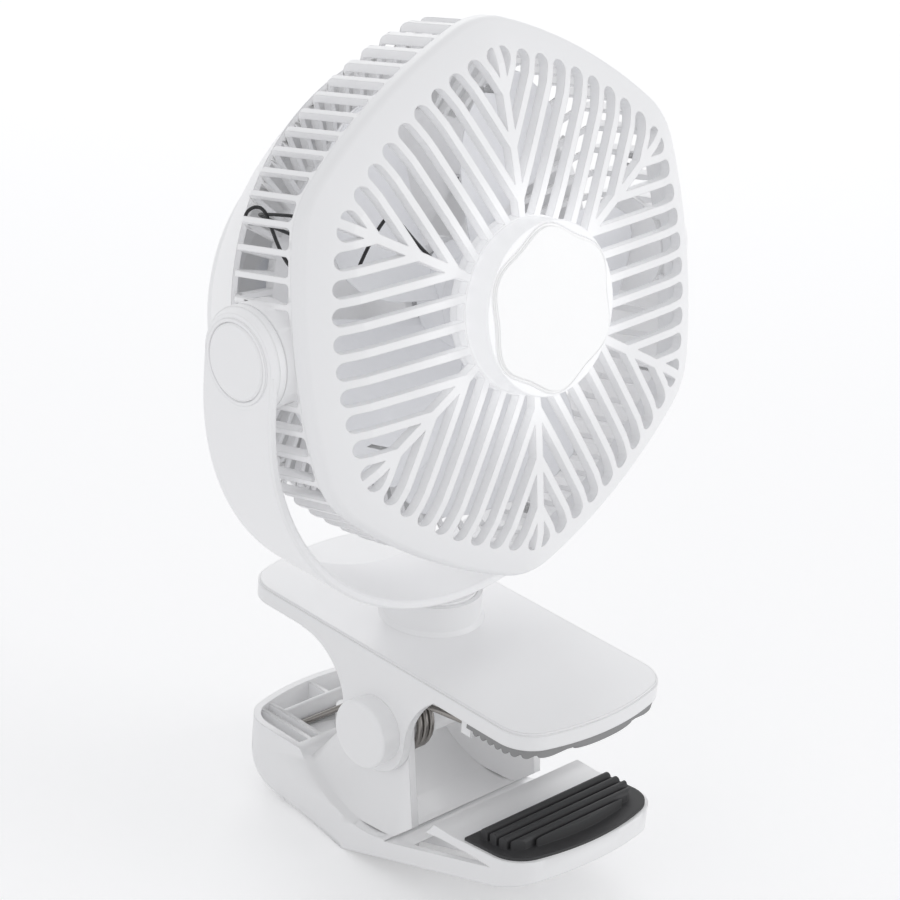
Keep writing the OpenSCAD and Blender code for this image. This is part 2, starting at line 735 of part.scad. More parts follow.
module plate2d(front, rear, off) {
    yf = -front + end_arc_r - end_back(off);
    yr = rear - end_arc_r + end_back(off);
    half = asin((plate_hw - plate_cr) / (end_arc_r - plate_cr));
    translate([-plate_hw - off, yf]) square([2 * (plate_hw + off), yr - yf]);
    for (m = [0, 1]) {
        cy = m == 0 ? -front + end_arc_r : rear - end_arc_r;
        d = m == 0 ? -1 : 1;
        intersection() {
            translate([0, cy]) circle(r = end_arc_r + off, $fn = 360);
            polygon([[0, cy], [big * tan(half), cy + d * big], [-big * tan(half), cy + d * big]]);
            translate([-big, d > 0 ? yr - 3 : yf + 3 - big]) square([2 * big, big]);
        }
        for (s = [-1, 1]) translate([s * (plate_hw - plate_cr), m == 0 ? yf : yr])
            circle(r = plate_cr + off);
    }
}

// Side cheek of the upper arm: a boss under the plate with hollow flanks.
boss_r = 14;
boss_at = [pin_y + 1.2, pin_z - 1.2];
flank_front = 25.7;
flank_rear = 21.5;

module cheek2d() {
    rear_y = boss_at[0] + sqrt(pow(boss_r + flank_rear, 2) - pow(0.7, 2));
    rear_z = -plate_h - 0.3 - flank_rear;
    translate(boss_at) circle(r = boss_r);
    difference() {
        polygon([[-37, -wall], [-37, boss_at[1]], [rear_y, rear_z], [rear_y, -wall]]);
        translate([boss_at[0] - boss_r - flank_front, boss_at[1]]) circle(r = flank_front, $fn = 180);
        translate([rear_y, rear_z]) circle(r = flank_rear, $fn = 180);
    }
}

cheek_t = 3;
lug_y = -47.5;
leg_x = 24.7;
leg_tip = [-49, -10.6];

module at_side() {
    rotate([90, 0, 90]) children();
}

module clip_upper_arm() {
    ring_r = swivel_r + gap + 1.5;
    color(white) difference() {
        union() {
            difference() {
                union() {
                    translate([0, 0, -plate_h]) linear_extrude(plate_h - 0.8)
                        plate2d(plate_front, plate_rear, 0);
                    translate([0, 0, -0.8 - eps]) linear_extrude(0.8 + eps)
                        plate2d(plate_front, plate_rear, -0.6);
                }
                translate([0, 0, -plate_h - 1]) linear_extrude(plate_h + 1 - wall)
                    plate2d(plate_front, plate_rear, -wall);
            }
            // cheeks down to the hinge pin
            for (s = [0, 1]) mirror([s, 0, 0])
                translate([plate_hw - cheek_t, 0, 0]) at_side() linear_extrude(cheek_t) cheek2d();
            // ring that holds the swivel disc
            translate([0, swivel_y, -wall]) cylinder(r = ring_r, h = ring_h + wall);
            translate([0, swivel_y, -eps]) cylinder(r1 = ring_r + 1.2, r2 = ring_r, h = 1.5);
            translate([0, swivel_y, -plate_h + 0.4 - eps]) cylinder(r = 13, h = plate_h);
            // ribs under the plate
            for (x = [-14, 14]) translate([x - 0.9, -44, -plate_h]) cube([1.8, 94, 3.6]);
            for (y = [-36, 26, 42]) translate([-plate_hw + 1, y, -plate_h])
                cube([2 * plate_hw - 2, 1.8, 3.6]);
            // lugs for the front legs of the spring
            for (s = [-1, 1]) translate([s * leg_x - 3, lug_y - 1.5, -13.4]) cube([6, 4, 12]);
        }
        translate([0, swivel_y, 0.6]) cylinder(r = swivel_r + gap, h = 20);
        translate([0, swivel_y, -20]) cylinder(r = stem_r + fit, h = 30);
        translate([-50, pin_y, pin_z]) rotate([0, 90, 0]) cylinder(r = pin_r, h = 100);
        for (s = [-1, 1]) translate([s * leg_x, lug_y - 5, leg_hole_z])
            rotate([-90, 0, 0]) cylinder(r = wire_d / 2 + 0.5, h = 12, $fn = 32);
    }
}

// ---- hinge ----
cap_base = plate_hw;
cap_h = 7.35;
pin_half = plate_hw + 4;

module hinge_pin() {
    color(steel) translate([-pin_half, pin_y, pin_z]) rotate([0, 90, 0])
        cylinder(r = pin_r, h = 2 * pin_half);
}

module pin_caps() {
    color(white) for (s = [0, 1]) mirror([s, 0, 0])
        translate([cap_base, pin_y, pin_z]) rotate([0, 90, 0]) difference() {
            union() {
                cylinder(r1 = pin_cap_r - 0.4, r2 = pin_cap_r, h = cap_h - 1);
                translate([0, 0, cap_h - 1]) cylinder(r = pin_cap_r - 1, h = 1);
                translate([0, 0, cap_h - 1]) rotate_extrude()
                    translate([pin_cap_r - 1, 0]) circle(r = 1, $fn = 48);
            }
            translate([0, 0, -1]) cylinder(r = pin_r, h = pin_half - cap_base + 1);
        }
}

// Torsion spring: two coils on the pin joined by a bar across the tray.
bar_y = 41;
bar_z = -56.7;
coil_turns = 3;
coil_step = 2.3;
coil_in = leg_x - coil_turns * coil_step - 1;

function tangent_at(p, side) = let (dy = p[0] - pin_y, dz = p[1] - pin_z,
    d = norm([dy, dz]), a = atan2(dz, dy), b = acos(coil_r / d)) a + side * b;

front_a = tangent_at(leg_tip, -1);
rear_a = tangent_at([bar_y, bar_z], 1) - 360 * coil_turns;
leg_hole_z = leg_tip[1] + (lug_y - leg_tip[0])
    * (pin_z + coil_r * sin(front_a) - leg_tip[1]) / (pin_y + coil_r * cos(front_a) - leg_tip[0]);
sweep_a = front_a - rear_a;
coil_n = 28 * coil_turns;

function coil_pt(i) = let (f = i / coil_n, a = front_a - sweep_a * f)
    [leg_x - (leg_x - coil_in) * f, pin_y + coil_r * cos(a), pin_z + coil_r * sin(a)];

spring_path = concat([[leg_x, leg_tip[0], leg_tip[1]]],
    [for (i = [0:coil_n]) coil_pt(i)], [[coil_in, bar_y, bar_z]]);

module torsion_spring() {
    bar_half = coil_in + wire_d / 2 + 0.3;
    color(steel) {
        for (s = [0, 1]) mirror([s, 0, 0]) wire_sweep(spring_path, wire_d / 2, 8, [1, 0, 0]);
        wire_sweep([[-bar_half, bar_y, bar_z], [bar_half, bar_y, bar_z]],
            wire_d / 2 + 0.08, 10, [0, 1, 0]);
    }
}

// ---- lower arm ----
lower_front = 82;
lower_rear = 54.5;
rim_z = -50;
base_z = -76.5;
jaw_rise = 17.5;
bend_y = -1.1;
deck_front = [-84, -43.8];
deck_rear = [-50, -47];
deck_slope = atan2(deck_front[1] - deck_rear[1], deck_rear[0] - deck_front[0]);
saddle_at = [-9, -27];
saddle_r = 38;
floor_z = -58;
ear_in = 26;
ear_out = plate_hw - cheek_t - gap;
tube_r = 8;

function base_at(y) = y > bend_y ? base_z : base_z + (bend_y - y) * tan(jaw_rise);

// Side view of the arm, filled between the top line and the base line.
module arm_side2d(drop) {
    front_y = -90;
    difference() {
        polygon([[70, rim_z - drop], [70, base_z], [bend_y, base_z], [front_y, base_at(front_y)],
            [front_y, deck_front[1] - drop + (deck_front[0] - front_y) * tan(deck_slope)],
            [deck_rear[0], deck_rear[1] - drop], [saddle_at[0] - 20, deck_rear[1] - drop],
            [saddle_at[0], rim_z - drop]]);
        translate(saddle_at) circle(r = saddle_r + drop, $fn = 240);
    }
}

module arch2d() {
    band = 6.4;
    polygon([[-66.5, base_at(-66.5) + band], [-20, base_at(-20) + band],
        [-33, deck_rear[1] - wall - 3], [-44, deck_rear[1] - wall - 1.2],
        [-58, deck_rear[1] - wall - 0.2]]);
}

module ear2d() {
    difference() {
        union() {
            translate([pin_y, pin_z]) circle(r = 11);
            polygon([[pin_y - 11, pin_z], [pin_y + 11, pin_z], [24, floor_z - 1.5],
                [10, -66], [-30, -63]]);
        }
        translate([pin_y, pin_z]) circle(r = pin_r + fit);
    }
}

module clip_lower_arm() {
    color(white) difference() {
        union() {
            // shell: vertical walls, a deck that follows the top line
            difference() {
                intersection() {
                    translate([0, 0, -90]) linear_extrude(60) plate2d(lower_front, lower_rear, 0);
                    translate([-40, 0, 0]) at_side() linear_extrude(80) arm_side2d(0);
                }
                intersection() {
                    translate([0, 0, -90]) linear_extrude(60) plate2d(lower_front, lower_rear, -wall);
                    translate([-40, 0, 0]) at_side() linear_extrude(80)
                        translate([0, -eps]) arm_side2d(wall);
                    translate([-40, -100, -90]) cube([80, 122, 60]);
                }
                // tray behind the hinge
                intersection() {
                    translate([0, 0, floor_z]) linear_extrude(20) plate2d(lower_front, lower_rear, -wall);
                    translate([-40, 0, 0]) at_side() linear_extrude(80) difference() {
                        translate([-20, floor_z]) square([90, 30]);
                        translate(saddle_at) circle(r = saddle_r + wall, $fn = 240);
                    }
                }
                // hollow under the tray floor
                intersection() {
                    translate([0, 0, -90]) linear_extrude(90 + floor_z - wall)
                        plate2d(lower_front, lower_rear, -wall);
                    translate([-40, 0, 0]) at_side() linear_extrude(80) difference() {
                        translate([-20, -90]) square([90, 90 + floor_z - wall]);
                        translate(saddle_at) circle(r = saddle_r + wall, $fn = 240);
                    }
                }
            }
            // ears and the tube the coils sit on
            for (s = [0, 1]) mirror([s, 0, 0]) translate([ear_in, 0, 0]) at_side()
                linear_extrude(ear_out - ear_in) ear2d();
            translate([-ear_in - eps, pin_y, pin_z]) rotate([0, 90, 0])
                cylinder(r = tube_r, h = 2 * ear_in + 2 * eps);
            // walls in the tray
            intersection() {
                translate([0, 0, floor_z - 1]) linear_extrude(8.4)
                    plate2d(lower_front, lower_rear, -1);
                translate([-40, 0, 0]) at_side() linear_extrude(80) difference() {
                    translate([-5, floor_z - 1]) square([90, 30]);
                    translate(saddle_at) circle(r = saddle_r + 0.5, $fn = 240);
                }
                union() {
                    for (x = [-25.3, -20.8, 19.2, 23.7]) translate([x, 0, -70]) cube([1.6, 60, 40]);
                    translate([-20, bar_y + wire_d / 2 + 0.2, -70]) cube([40, 1.6, 40]);
                    translate([-0.8, bar_y + 2, -70]) cube([1.6, 30, 40]);
                }
            }
            translate([0, 34, floor_z - 1]) cylinder(r = 3.6, h = 8);
            // ribs under the deck and the tray
            intersection() {
                translate([-40, 0, 0]) at_side() linear_extrude(80) difference() {
                    arm_side2d(0.6);
                    translate([-10, floor_z - 0.6]) square([100, 50]);
                }
                translate([0, 0, -90]) linear_extrude(60) plate2d(lower_front, lower_rear, -1);
                union() {
                    for (x = [-15, 15]) translate([x - 0.8, -78, -90]) cube([1.6, 128, 60]);
                    translate([-32, 8, -90]) cube([64, 1.6, 60]);
                    translate([-32, -60, -90]) cube([64, 1.6, 60]);
                    translate([-32, 36, -90]) cube([64, 1.6, 60]);
                }
            }
        }
        translate([-50, pin_y, pin_z]) rotate([0, 90, 0]) cylinder(r = pin_r + fit, h = 100);
        translate([0, 34, floor_z + 1]) cylinder(r = 1.3, h = 20);
        translate([-40, 0, 0]) at_side() linear_extrude(80) arch2d();
    }
}

// ---- rubber pads ----
pad_back = -50.5;
tooth_pitch = 3.1;
tooth_h = 1.1;
upper_pad_t = 2.2;

module upper_pad() {
    color(grey) {
        intersection() {
            translate([0, 0, -plate_h - upper_pad_t]) linear_extrude(upper_pad_t)
                plate2d(plate_front, plate_rear, -0.9);
            translate([-40, -100, -20]) cube([80, 100 + pad_back, 20]);
        }
        intersection() {
            translate([0, 0, -plate_h - eps]) linear_extrude(plate_h - wall)
                plate2d(plate_front, plate_rear, -wall - gap / 3);
            translate([-40, -100, -20]) cube([80, 100 + pad_back, 20]);
        }
        intersection() {
            for (y = [-79.2:tooth_pitch:pad_back - tooth_pitch / 2])
                translate([-40, y, -plate_h - upper_pad_t]) rotate([0, 90, 0])
                    cylinder(r = tooth_h, h = 80, $fn = 24);
            translate([0, 0, -20]) linear_extrude(20) plate2d(plate_front, plate_rear, -0.9);
        }
    }
}

rib_pitch = 3.9;
rib_r = 1.45;
rib_h = 2.2;
pad_t = 1;

module lower_pad() {
    color(dark) translate([0, deck_rear[0], deck_rear[1]]) rotate([-deck_slope, 0, 0])
        translate([0, -deck_rear[0], 0]) {
            intersection() {
                linear_extrude(pad_t) plate2d(lower_front, lower_rear, -1);
                translate([-40, -100, -1]) cube([80, 46, 10]);
            }
            intersection() {
                for (k = [0:5]) translate([-40, -78.5 + k * rib_pitch, 0]) {
                    translate([0, -rib_r, 0]) cube([80, 2 * rib_r, pad_t + rib_h]);
                    translate([0, 0, pad_t + rib_h]) rotate([0, 90, 0])
                        cylinder(r = rib_r, h = 80, $fn = 32);
                }
                linear_extrude(20) plate2d(lower_front - 2, lower_rear, -4.5);
            }
        }
}

// The origin is the middle of the tube that the jaws hold.
module from_grip() {
    translate([0, -grip_y, -grip_z]) children();
}

from_grip() front_grille();
from_grip() led_lens();
from_grip() led_board();
from_grip() led_chips();
from_grip() hub_cover();
from_grip() rear_housing();
from_grip() rear_pod();
from_grip() pod_screws();
from_grip() motor();
from_grip() motor_shaft();
from_grip() impeller();
from_grip() battery_cells();
from_grip() battery_holder();
from_grip() control_board();
from_grip() usb_port();
from_grip() speed_button();
from_grip() light_button();
from_grip() charge_lights();
from_grip() led_wires();
from_grip() yoke();
from_grip() pivot_screws();
from_grip() pivot_caps();
from_grip() swivel_washer();
from_grip() swivel_screw();
from_grip() clip_upper_arm();
from_grip() clip_lower_arm();
from_grip() hinge_pin();
from_grip() pin_caps();
from_grip() torsion_spring();
from_grip() upper_pad();
from_grip() lower_pad();
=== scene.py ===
# %% [markdown]
# # Clip-on camping fan with a hub light
# The fan is a six-sided white head on a yoke, which swivels on a spring clip. The fixed
# frame brings every moulded part at its true place. This notebook builds the studio,
# gives each part its finish, and puts a copy in place of the few parts whose real form is
# rounder or softer than the plain part. The frame is in metres, and MM turns millimetres
# into them.
# %% Frame and units
import json
import math

import bmesh
import bpy
from mathutils import Matrix, Vector


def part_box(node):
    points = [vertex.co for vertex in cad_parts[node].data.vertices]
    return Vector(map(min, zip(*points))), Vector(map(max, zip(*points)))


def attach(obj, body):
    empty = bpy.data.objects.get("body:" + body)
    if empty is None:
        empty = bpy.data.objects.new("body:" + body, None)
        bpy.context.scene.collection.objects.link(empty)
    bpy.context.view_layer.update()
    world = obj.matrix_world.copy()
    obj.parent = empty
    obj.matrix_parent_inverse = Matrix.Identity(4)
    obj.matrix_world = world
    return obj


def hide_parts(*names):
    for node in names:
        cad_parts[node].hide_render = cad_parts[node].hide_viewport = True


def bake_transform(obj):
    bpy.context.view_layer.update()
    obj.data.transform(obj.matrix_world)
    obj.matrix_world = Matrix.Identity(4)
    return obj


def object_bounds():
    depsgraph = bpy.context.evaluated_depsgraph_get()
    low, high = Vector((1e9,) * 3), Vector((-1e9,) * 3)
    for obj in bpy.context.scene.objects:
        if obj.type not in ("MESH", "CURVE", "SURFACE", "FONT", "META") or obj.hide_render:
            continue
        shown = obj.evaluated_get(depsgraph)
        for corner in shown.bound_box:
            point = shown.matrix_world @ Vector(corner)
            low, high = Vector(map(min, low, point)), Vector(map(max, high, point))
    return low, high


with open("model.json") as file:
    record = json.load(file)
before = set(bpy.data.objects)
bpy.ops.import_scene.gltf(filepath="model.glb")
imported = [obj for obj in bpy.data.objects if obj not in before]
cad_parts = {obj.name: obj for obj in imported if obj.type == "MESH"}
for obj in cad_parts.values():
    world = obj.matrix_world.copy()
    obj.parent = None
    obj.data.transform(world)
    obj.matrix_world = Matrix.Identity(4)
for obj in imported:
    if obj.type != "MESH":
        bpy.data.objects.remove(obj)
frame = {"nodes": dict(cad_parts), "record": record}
cad_low, cad_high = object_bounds()
NODES = frame["nodes"]
BODY_OF = {n: b for b, ns in frame["record"]["behaviour"]["bodies"].items() for n in ns}
MM = 0.001
print("frame box in mm:", [round((h - l) / MM, 1) for l, h in zip(cad_low, cad_high)])

# %% [markdown]
# The fan's axis leans up by the tilt angle and passes through the middle of the pivots.
# Everything round the light is placed in head coordinates: x to the right, y down and
# w back along the axis from the middle of the grille. One matrix turns those into the
# frame, so a piece of the head can be drawn as if the fan stood straight.
# %% Head coordinates
TILT = math.radians(13.5)
PIVOT_BACK = 31.4
pivot_low, pivot_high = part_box("pivot_caps")
PIVOT = (pivot_low + pivot_high) / 2
HEAD = (
    Matrix.Translation(PIVOT)
    @ Matrix.Rotation(-TILT, 4, "X")
    @ Matrix.Translation((0, -PIVOT_BACK * MM, 0))
    @ Matrix.Rotation(math.radians(-90), 4, "X")
    @ Matrix.Scale(MM, 4)
)
print("pivot at", [round(v / MM, 1) for v in PIVOT], "apex at", [round(v / MM, 1) for v in HEAD @ Vector()])

# %% [markdown]
# A studio sweep is a pale floor under even light. It could be a plain picture plane, but
# then nothing would stand on it, so it stays a real surface that takes the soft shadow of
# the clip. Rays from the camera, from gloss and from clear plastic read it a little
# brighter, which turns it to a white page without more light on the fan. Seen from below
# it is clear, so that the underside can be looked at.
# %% Floor
FLOOR_HALF = 9
FLOOR_Z = cad_low.z - 0.2 * MM
FLOOR_COLOUR = (0.86, 0.86, 0.865, 1)
FLOOR_LIFT = 0.22


def stage_floor():
    mesh = bpy.data.meshes.new("studio_floor")
    bm = bmesh.new()
    bmesh.ops.create_grid(bm, x_segments=1, y_segments=1, size=FLOOR_HALF)
    bmesh.ops.translate(bm, verts=bm.verts, vec=(0, 0, FLOOR_Z))
    bm.to_mesh(mesh)
    bm.free()
    floor = bpy.data.objects.new("studio_floor", mesh)
    bpy.context.scene.collection.objects.link(floor)
    return floor


stage = stage_floor()
print("floor at", round(FLOOR_Z / MM, 1), "mm")

# %% [markdown]
# The paper is a matt white. One shader cannot be both evenly lit and pure white, so the
# diffuse colour carries the shadow and a small emission lifts it for the eye only: the
# Light Path node says what kind of ray asks.
# %% Studio paper
def floor_material():
    mat = bpy.data.materials.new("studio_paper")
    mat.use_nodes = True
    nodes, links = mat.node_tree.nodes, mat.node_tree.links
    nodes.clear()
    out = nodes.new("ShaderNodeOutputMaterial")
    paper = nodes.new("ShaderNodeBsdfDiffuse")
    paper.inputs["Color"].default_value = FLOOR_COLOUR
    lift = nodes.new("ShaderNodeEmission")
    path = nodes.new("ShaderNodeLightPath")
    seen = nodes.new("ShaderNodeMath")
    seen.operation = "MAXIMUM"
    seen_glass = nodes.new("ShaderNodeMath")
    seen_glass.operation = "MAXIMUM"
    strength = nodes.new("ShaderNodeMath")
    strength.operation = "MULTIPLY"
    strength.inputs[1].default_value = FLOOR_LIFT
    total = nodes.new("ShaderNodeAddShader")
    clear = nodes.new("ShaderNodeBsdfTransparent")
    side = nodes.new("ShaderNodeNewGeometry")
    mix = nodes.new("ShaderNodeMixShader")
    links.new(path.outputs["Is Camera Ray"], seen.inputs[0])
    links.new(path.outputs["Is Glossy Ray"], seen.inputs[1])
    links.new(seen.outputs[0], seen_glass.inputs[0])
    links.new(path.outputs["Is Transmission Ray"], seen_glass.inputs[1])
    links.new(seen_glass.outputs[0], strength.inputs[0])
    links.new(strength.outputs[0], lift.inputs["Strength"])
    links.new(paper.outputs[0], total.inputs[0])
    links.new(lift.outputs[0], total.inputs[1])
    links.new(side.outputs["Backfacing"], mix.inputs["Fac"])
    links.new(total.outputs[0], mix.inputs[1])
    links.new(clear.outputs[0], mix.inputs[2])
    links.new(mix.outputs[0], out.inputs["Surface"])
    return mat


stage.data.materials.append(floor_material())
print("floor material:", stage.data.materials[0].name)

# %% [markdown]
# White things are lit from all round, because a white surface shows its form only by
# small steps of grey. A ring of lamps could do it, but the world is simpler: an even
# grey-white tent that lights the fan and shows as white to the camera.
# %% World
TENT_COLOUR = (0.98, 0.985, 1, 1)
WORLD_LIGHT = 0.68


def build_world():
    world = bpy.data.worlds.new("studio_tent")
    bpy.context.scene.world = world
    world.use_nodes = True
    nodes, links = world.node_tree.nodes, world.node_tree.links
    nodes.clear()
    out = nodes.new("ShaderNodeOutputWorld")
    tent = nodes.new("ShaderNodeBackground")
    tent.inputs["Color"].default_value = TENT_COLOUR
    tent.inputs["Strength"].default_value = WORLD_LIGHT
    page = nodes.new("ShaderNodeBackground")
    page.inputs["Color"].default_value = (1, 1, 1, 1)
    page.inputs["Strength"].default_value = 1
    path = nodes.new("ShaderNodeLightPath")
    first = nodes.new("ShaderNodeMath")
    first.operation = "MAXIMUM"
    mix = nodes.new("ShaderNodeMixShader")
    links.new(path.outputs["Is Camera Ray"], first.inputs[0])
    links.new(path.outputs["Is Transmission Ray"], first.inputs[1])
    links.new(first.outputs[0], mix.inputs["Fac"])
    links.new(tent.outputs[0], mix.inputs[1])
    links.new(page.outputs[0], mix.inputs[2])
    links.new(mix.outputs[0], out.inputs["Surface"])


build_world()
print("world:", bpy.context.scene.world.name)

# %% [markdown]
# Three large soft lamps add the slopes of grey: a weak one from the left, a stronger one
# from the front right and one from behind on the right, which catches the top of the
# clip plate. They are square and wide, so that no edge of a shadow is hard.
# %% Lamps
LAMP_SIDE = 1.2
LAMP_AIM = Vector((0, 0, 0.09))
LAMPS = {
    "lamp_left": ((-1.5, -0.2, 0.5), 2.5),
    "lamp_right": ((1.1, -1.2, 0.5), 7),
    "lamp_behind": ((0.9, 1.3, 0.9), 6),
}


def soft_lamp(name, place, watts):
    data = bpy.data.lights.new(name, "AREA")
    data.shape = "RECTANGLE"
    data.size, data.size_y = LAMP_SIDE, LAMP_SIDE
    data.energy = watts
    lamp = bpy.data.objects.new(name, data)
    lamp.location = place
    lamp.rotation_mode = "QUATERNION"
    lamp.rotation_quaternion = (LAMP_AIM - Vector(place)).to_track_quat("-Z", "Y")
    bpy.context.scene.collection.objects.link(lamp)
    return lamp


for name, (place, watts) in LAMPS.items():
    soft_lamp(name, place, watts)
print("lamps:", list(LAMPS))

# %% [markdown]
# The camera is a long lens a metre away, a little above the head and to its right-hand
# side as the fan sees it. A long lens keeps the six-sided rim from looking stretched. The
# slight roll of the view is part of its Euler angles.
# %% Camera
LENS, SENSOR = 128, 36
CAMERA_PLACE = (-0.6437, -0.5604, 0.5146)
CAMERA_TURN = (64.179, -4.391, -43.911)
camera_data = bpy.data.cameras.new("studio_camera")
camera_data.sensor_width = SENSOR
camera_data.lens = LENS
camera = bpy.data.objects.new("studio_camera", camera_data)
camera.location = CAMERA_PLACE
camera.rotation_euler = [math.radians(a) for a in CAMERA_TURN]
bpy.context.scene.collection.objects.link(camera)
bpy.context.scene.camera = camera
bpy.context.scene.view_settings.view_transform = "Standard"
print("camera", round(Vector(CAMERA_PLACE).length, 3), "m from the grip")

# %% [markdown]
# A finish that several parts share is a node group: it is built once and placed in each
# material with its own numbers. These four helpers make a group with named sockets, and
# add a noise, a remapping and a calculation to it, so that the recipes below stay short.
# %% Helpers for node groups
def new_group(name, inputs, outputs):
    group = bpy.data.node_groups.new(name, "ShaderNodeTree")
    for label, kind, value in inputs:
        socket = group.interface.new_socket(label, in_out="INPUT", socket_type=kind)
        socket.default_value = value
    for label, kind in outputs:
        group.interface.new_socket(label, in_out="OUTPUT", socket_type=kind)
    return group, group.nodes.new("NodeGroupInput"), group.nodes.new("NodeGroupOutput")


def noise_node(group, scale, detail, vector):
    """A noise on the given coordinates; its scale is a number or a socket."""
    node = group.nodes.new("ShaderNodeTexNoise")
    node.inputs["Detail"].default_value = detail
    group.links.new(vector, node.inputs["Vector"])
    if hasattr(scale, "is_linked"):
        group.links.new(scale, node.inputs["Scale"])
    else:
        node.inputs["Scale"].default_value = scale
    return node.outputs["Fac"]


def remap_node(group, value, low, high):
    """A value of 0 to 1 carried to low to high."""
    node = group.nodes.new("ShaderNodeMapRange")
    node.inputs["To Min"].default_value = low
    node.inputs["To Max"].default_value = high
    group.links.new(value, node.inputs["Value"])
    return node.outputs["Result"]


def math_node(group, kind, a, b):
    """A sum, a product or a power of a and b, which are numbers or sockets."""
    node = group.nodes.new("ShaderNodeMath")
    node.operation = kind
    for i, value in enumerate((a, b)):
        if hasattr(value, "is_linked"):
            group.links.new(value, node.inputs[i])
        else:
            node.inputs[i].default_value = value
    return node.outputs[0]


print("helpers for node groups are ready")

# %% [markdown]
# Moulded plastic is never one flat colour. It has a fine spark-eroded texture, a broad
# unevenness where the melt cooled, and a shine that changes with both. It could be
# painted on, but a noise on the piece's own coordinates stays on the part when the part
# moves. A mould also leaves a small radius on every edge. Modelling it on bars this thin
# breaks their meshes, so a Bevel node turns the normals near an edge instead.
# %% Group: moulded skin
EDGE_EASE = 0.5
EASE_SAMPLES = 6
CLOUD_SCALE = 26.0
GRAIN_HEIGHT = 0.02


def build_moulded_skin():
    group, have, give = new_group(
        "moulded_skin",
        [
            ("Colour", "NodeSocketColor", (0.85, 0.85, 0.86, 1)),
            ("Deep Colour", "NodeSocketColor", (0.8, 0.8, 0.82, 1)),
            ("Grain Scale", "NodeSocketFloat", 2400.0),
            ("Roughness", "NodeSocketFloat", 0.42),
            ("Spread", "NodeSocketFloat", 0.08),
            ("Grain", "NodeSocketFloat", 0.12),
        ],
        [("Colour", "NodeSocketColor"), ("Roughness", "NodeSocketFloat"), ("Normal", "NodeSocketVector")],
    )
    place = group.nodes.new("ShaderNodeTexCoord").outputs["Object"]
    cloud = noise_node(group, CLOUD_SCALE, 3.0, place)
    fine = noise_node(group, have.outputs["Grain Scale"], 2.0, place)
    tint = group.nodes.new("ShaderNodeMix")
    tint.data_type = "RGBA"
    group.links.new(remap_node(group, cloud, 0.0, 0.6), tint.inputs["Factor"])
    group.links.new(have.outputs["Colour"], tint.inputs["A"])
    group.links.new(have.outputs["Deep Colour"], tint.inputs["B"])
    group.links.new(tint.outputs["Result"], give.inputs["Colour"])
    swing = math_node(group, "MULTIPLY", remap_node(group, cloud, -1.0, 1.0), have.outputs["Spread"])
    rough = math_node(group, "ADD", have.outputs["Roughness"], swing)
    group.links.new(rough, give.inputs["Roughness"])
    ease = group.nodes.new("ShaderNodeBevel")
    ease.samples = EASE_SAMPLES
    ease.inputs["Radius"].default_value = EDGE_EASE * MM
    bump = group.nodes.new("ShaderNodeBump")
    bump.inputs["Distance"].default_value = GRAIN_HEIGHT * MM
    group.links.new(have.outputs["Grain"], bump.inputs["Strength"])
    group.links.new(fine, bump.inputs["Height"])
    group.links.new(ease.outputs["Normal"], bump.inputs["Normal"])
    group.links.new(bump.outputs["Normal"], give.inputs["Normal"])
    return group


MOULDED_SKIN = build_moulded_skin()
print("group", MOULDED_SKIN.name, "with", len(MOULDED_SKIN.nodes), "nodes")

# %% [markdown]
# The white parts share one recipe with small changes: the outside has a satin spark
# finish, the clip is a touch glossier from handling, and the blades are a thinner, cooler
# plastic that looks grey-blue in the shade of the grille. White plastic also lets light
# soak through it, so its shadows are pale. Real translucency is slow and noisy in thin
# bars, so a small even emission, the lift, stands for it: a painted glow that lightens the shade.
# %% Moulded plastics
def principled(name):
    mat = bpy.data.materials.new(name)
    mat.use_nodes = True
    return mat, mat.node_tree, mat.node_tree.nodes["Principled BSDF"]


def moulded(name, colour, deep, roughness, spread=0.06, grain=0.12, scale=2400.0, lift=0.0):
    mat, tree, shader = principled(name)
    skin = tree.nodes.new("ShaderNodeGroup")
    skin.node_tree = MOULDED_SKIN
    skin.inputs["Colour"].default_value = (*colour, 1)
    skin.inputs["Deep Colour"].default_value = (*deep, 1)
    skin.inputs["Grain Scale"].default_value = scale
    skin.inputs["Roughness"].default_value = roughness
    skin.inputs["Spread"].default_value = spread
    skin.inputs["Grain"].default_value = grain
    tree.links.new(skin.outputs["Colour"], shader.inputs["Base Color"])
    tree.links.new(skin.outputs["Roughness"], shader.inputs["Roughness"])
    tree.links.new(skin.outputs["Normal"], shader.inputs["Normal"])
    # The lift is a painted glow: the part gives off its own colour evenly, which lightens its shade.
    shader.inputs["Emission Color"].default_value = (*colour, 1)
    shader.inputs["Emission Strength"].default_value = lift
    return mat


# Painted glow that lightens the shade of the white parts; the clip gets a weaker one.
PAINTED_GLOW, CLIP_PAINTED_GLOW = 0.1, 0.06
WHITE = moulded("white_satin", (0.88, 0.88, 0.885), (0.855, 0.855, 0.87), 0.40, lift=PAINTED_GLOW)
CLIP_WHITE = moulded(
    "white_clip", (0.84, 0.84, 0.845), (0.815, 0.815, 0.825), 0.34, grain=0.08, lift=CLIP_PAINTED_GLOW
)
BLADE_WHITE = moulded("blade_white", (0.86, 0.865, 0.885), (0.83, 0.835, 0.86), 0.32, grain=0.05, lift=PAINTED_GLOW)
INNER_WHITE = moulded("inner_white", (0.88, 0.88, 0.885), (0.855, 0.855, 0.87), 0.5, lift=PAINTED_GLOW)
BUTTON_GREY = moulded("button_grey", (0.50, 0.50, 0.52), (0.46, 0.46, 0.48), 0.45)
BLACK = moulded("socket_black", (0.012, 0.012, 0.013), (0.02, 0.02, 0.022), 0.45)
SLEEVE = moulded("lead_sleeve", (0.018, 0.018, 0.02), (0.03, 0.03, 0.032), 0.38, grain=0.2, scale=1500.0)
CELL_FILM = moulded("cell_film", (0.07, 0.2, 0.48), (0.05, 0.16, 0.42), 0.22, grain=0.05, scale=600.0)
print("white plastics:", [m.name for m in (WHITE, CLIP_WHITE, BLADE_WHITE, INNER_WHITE)])
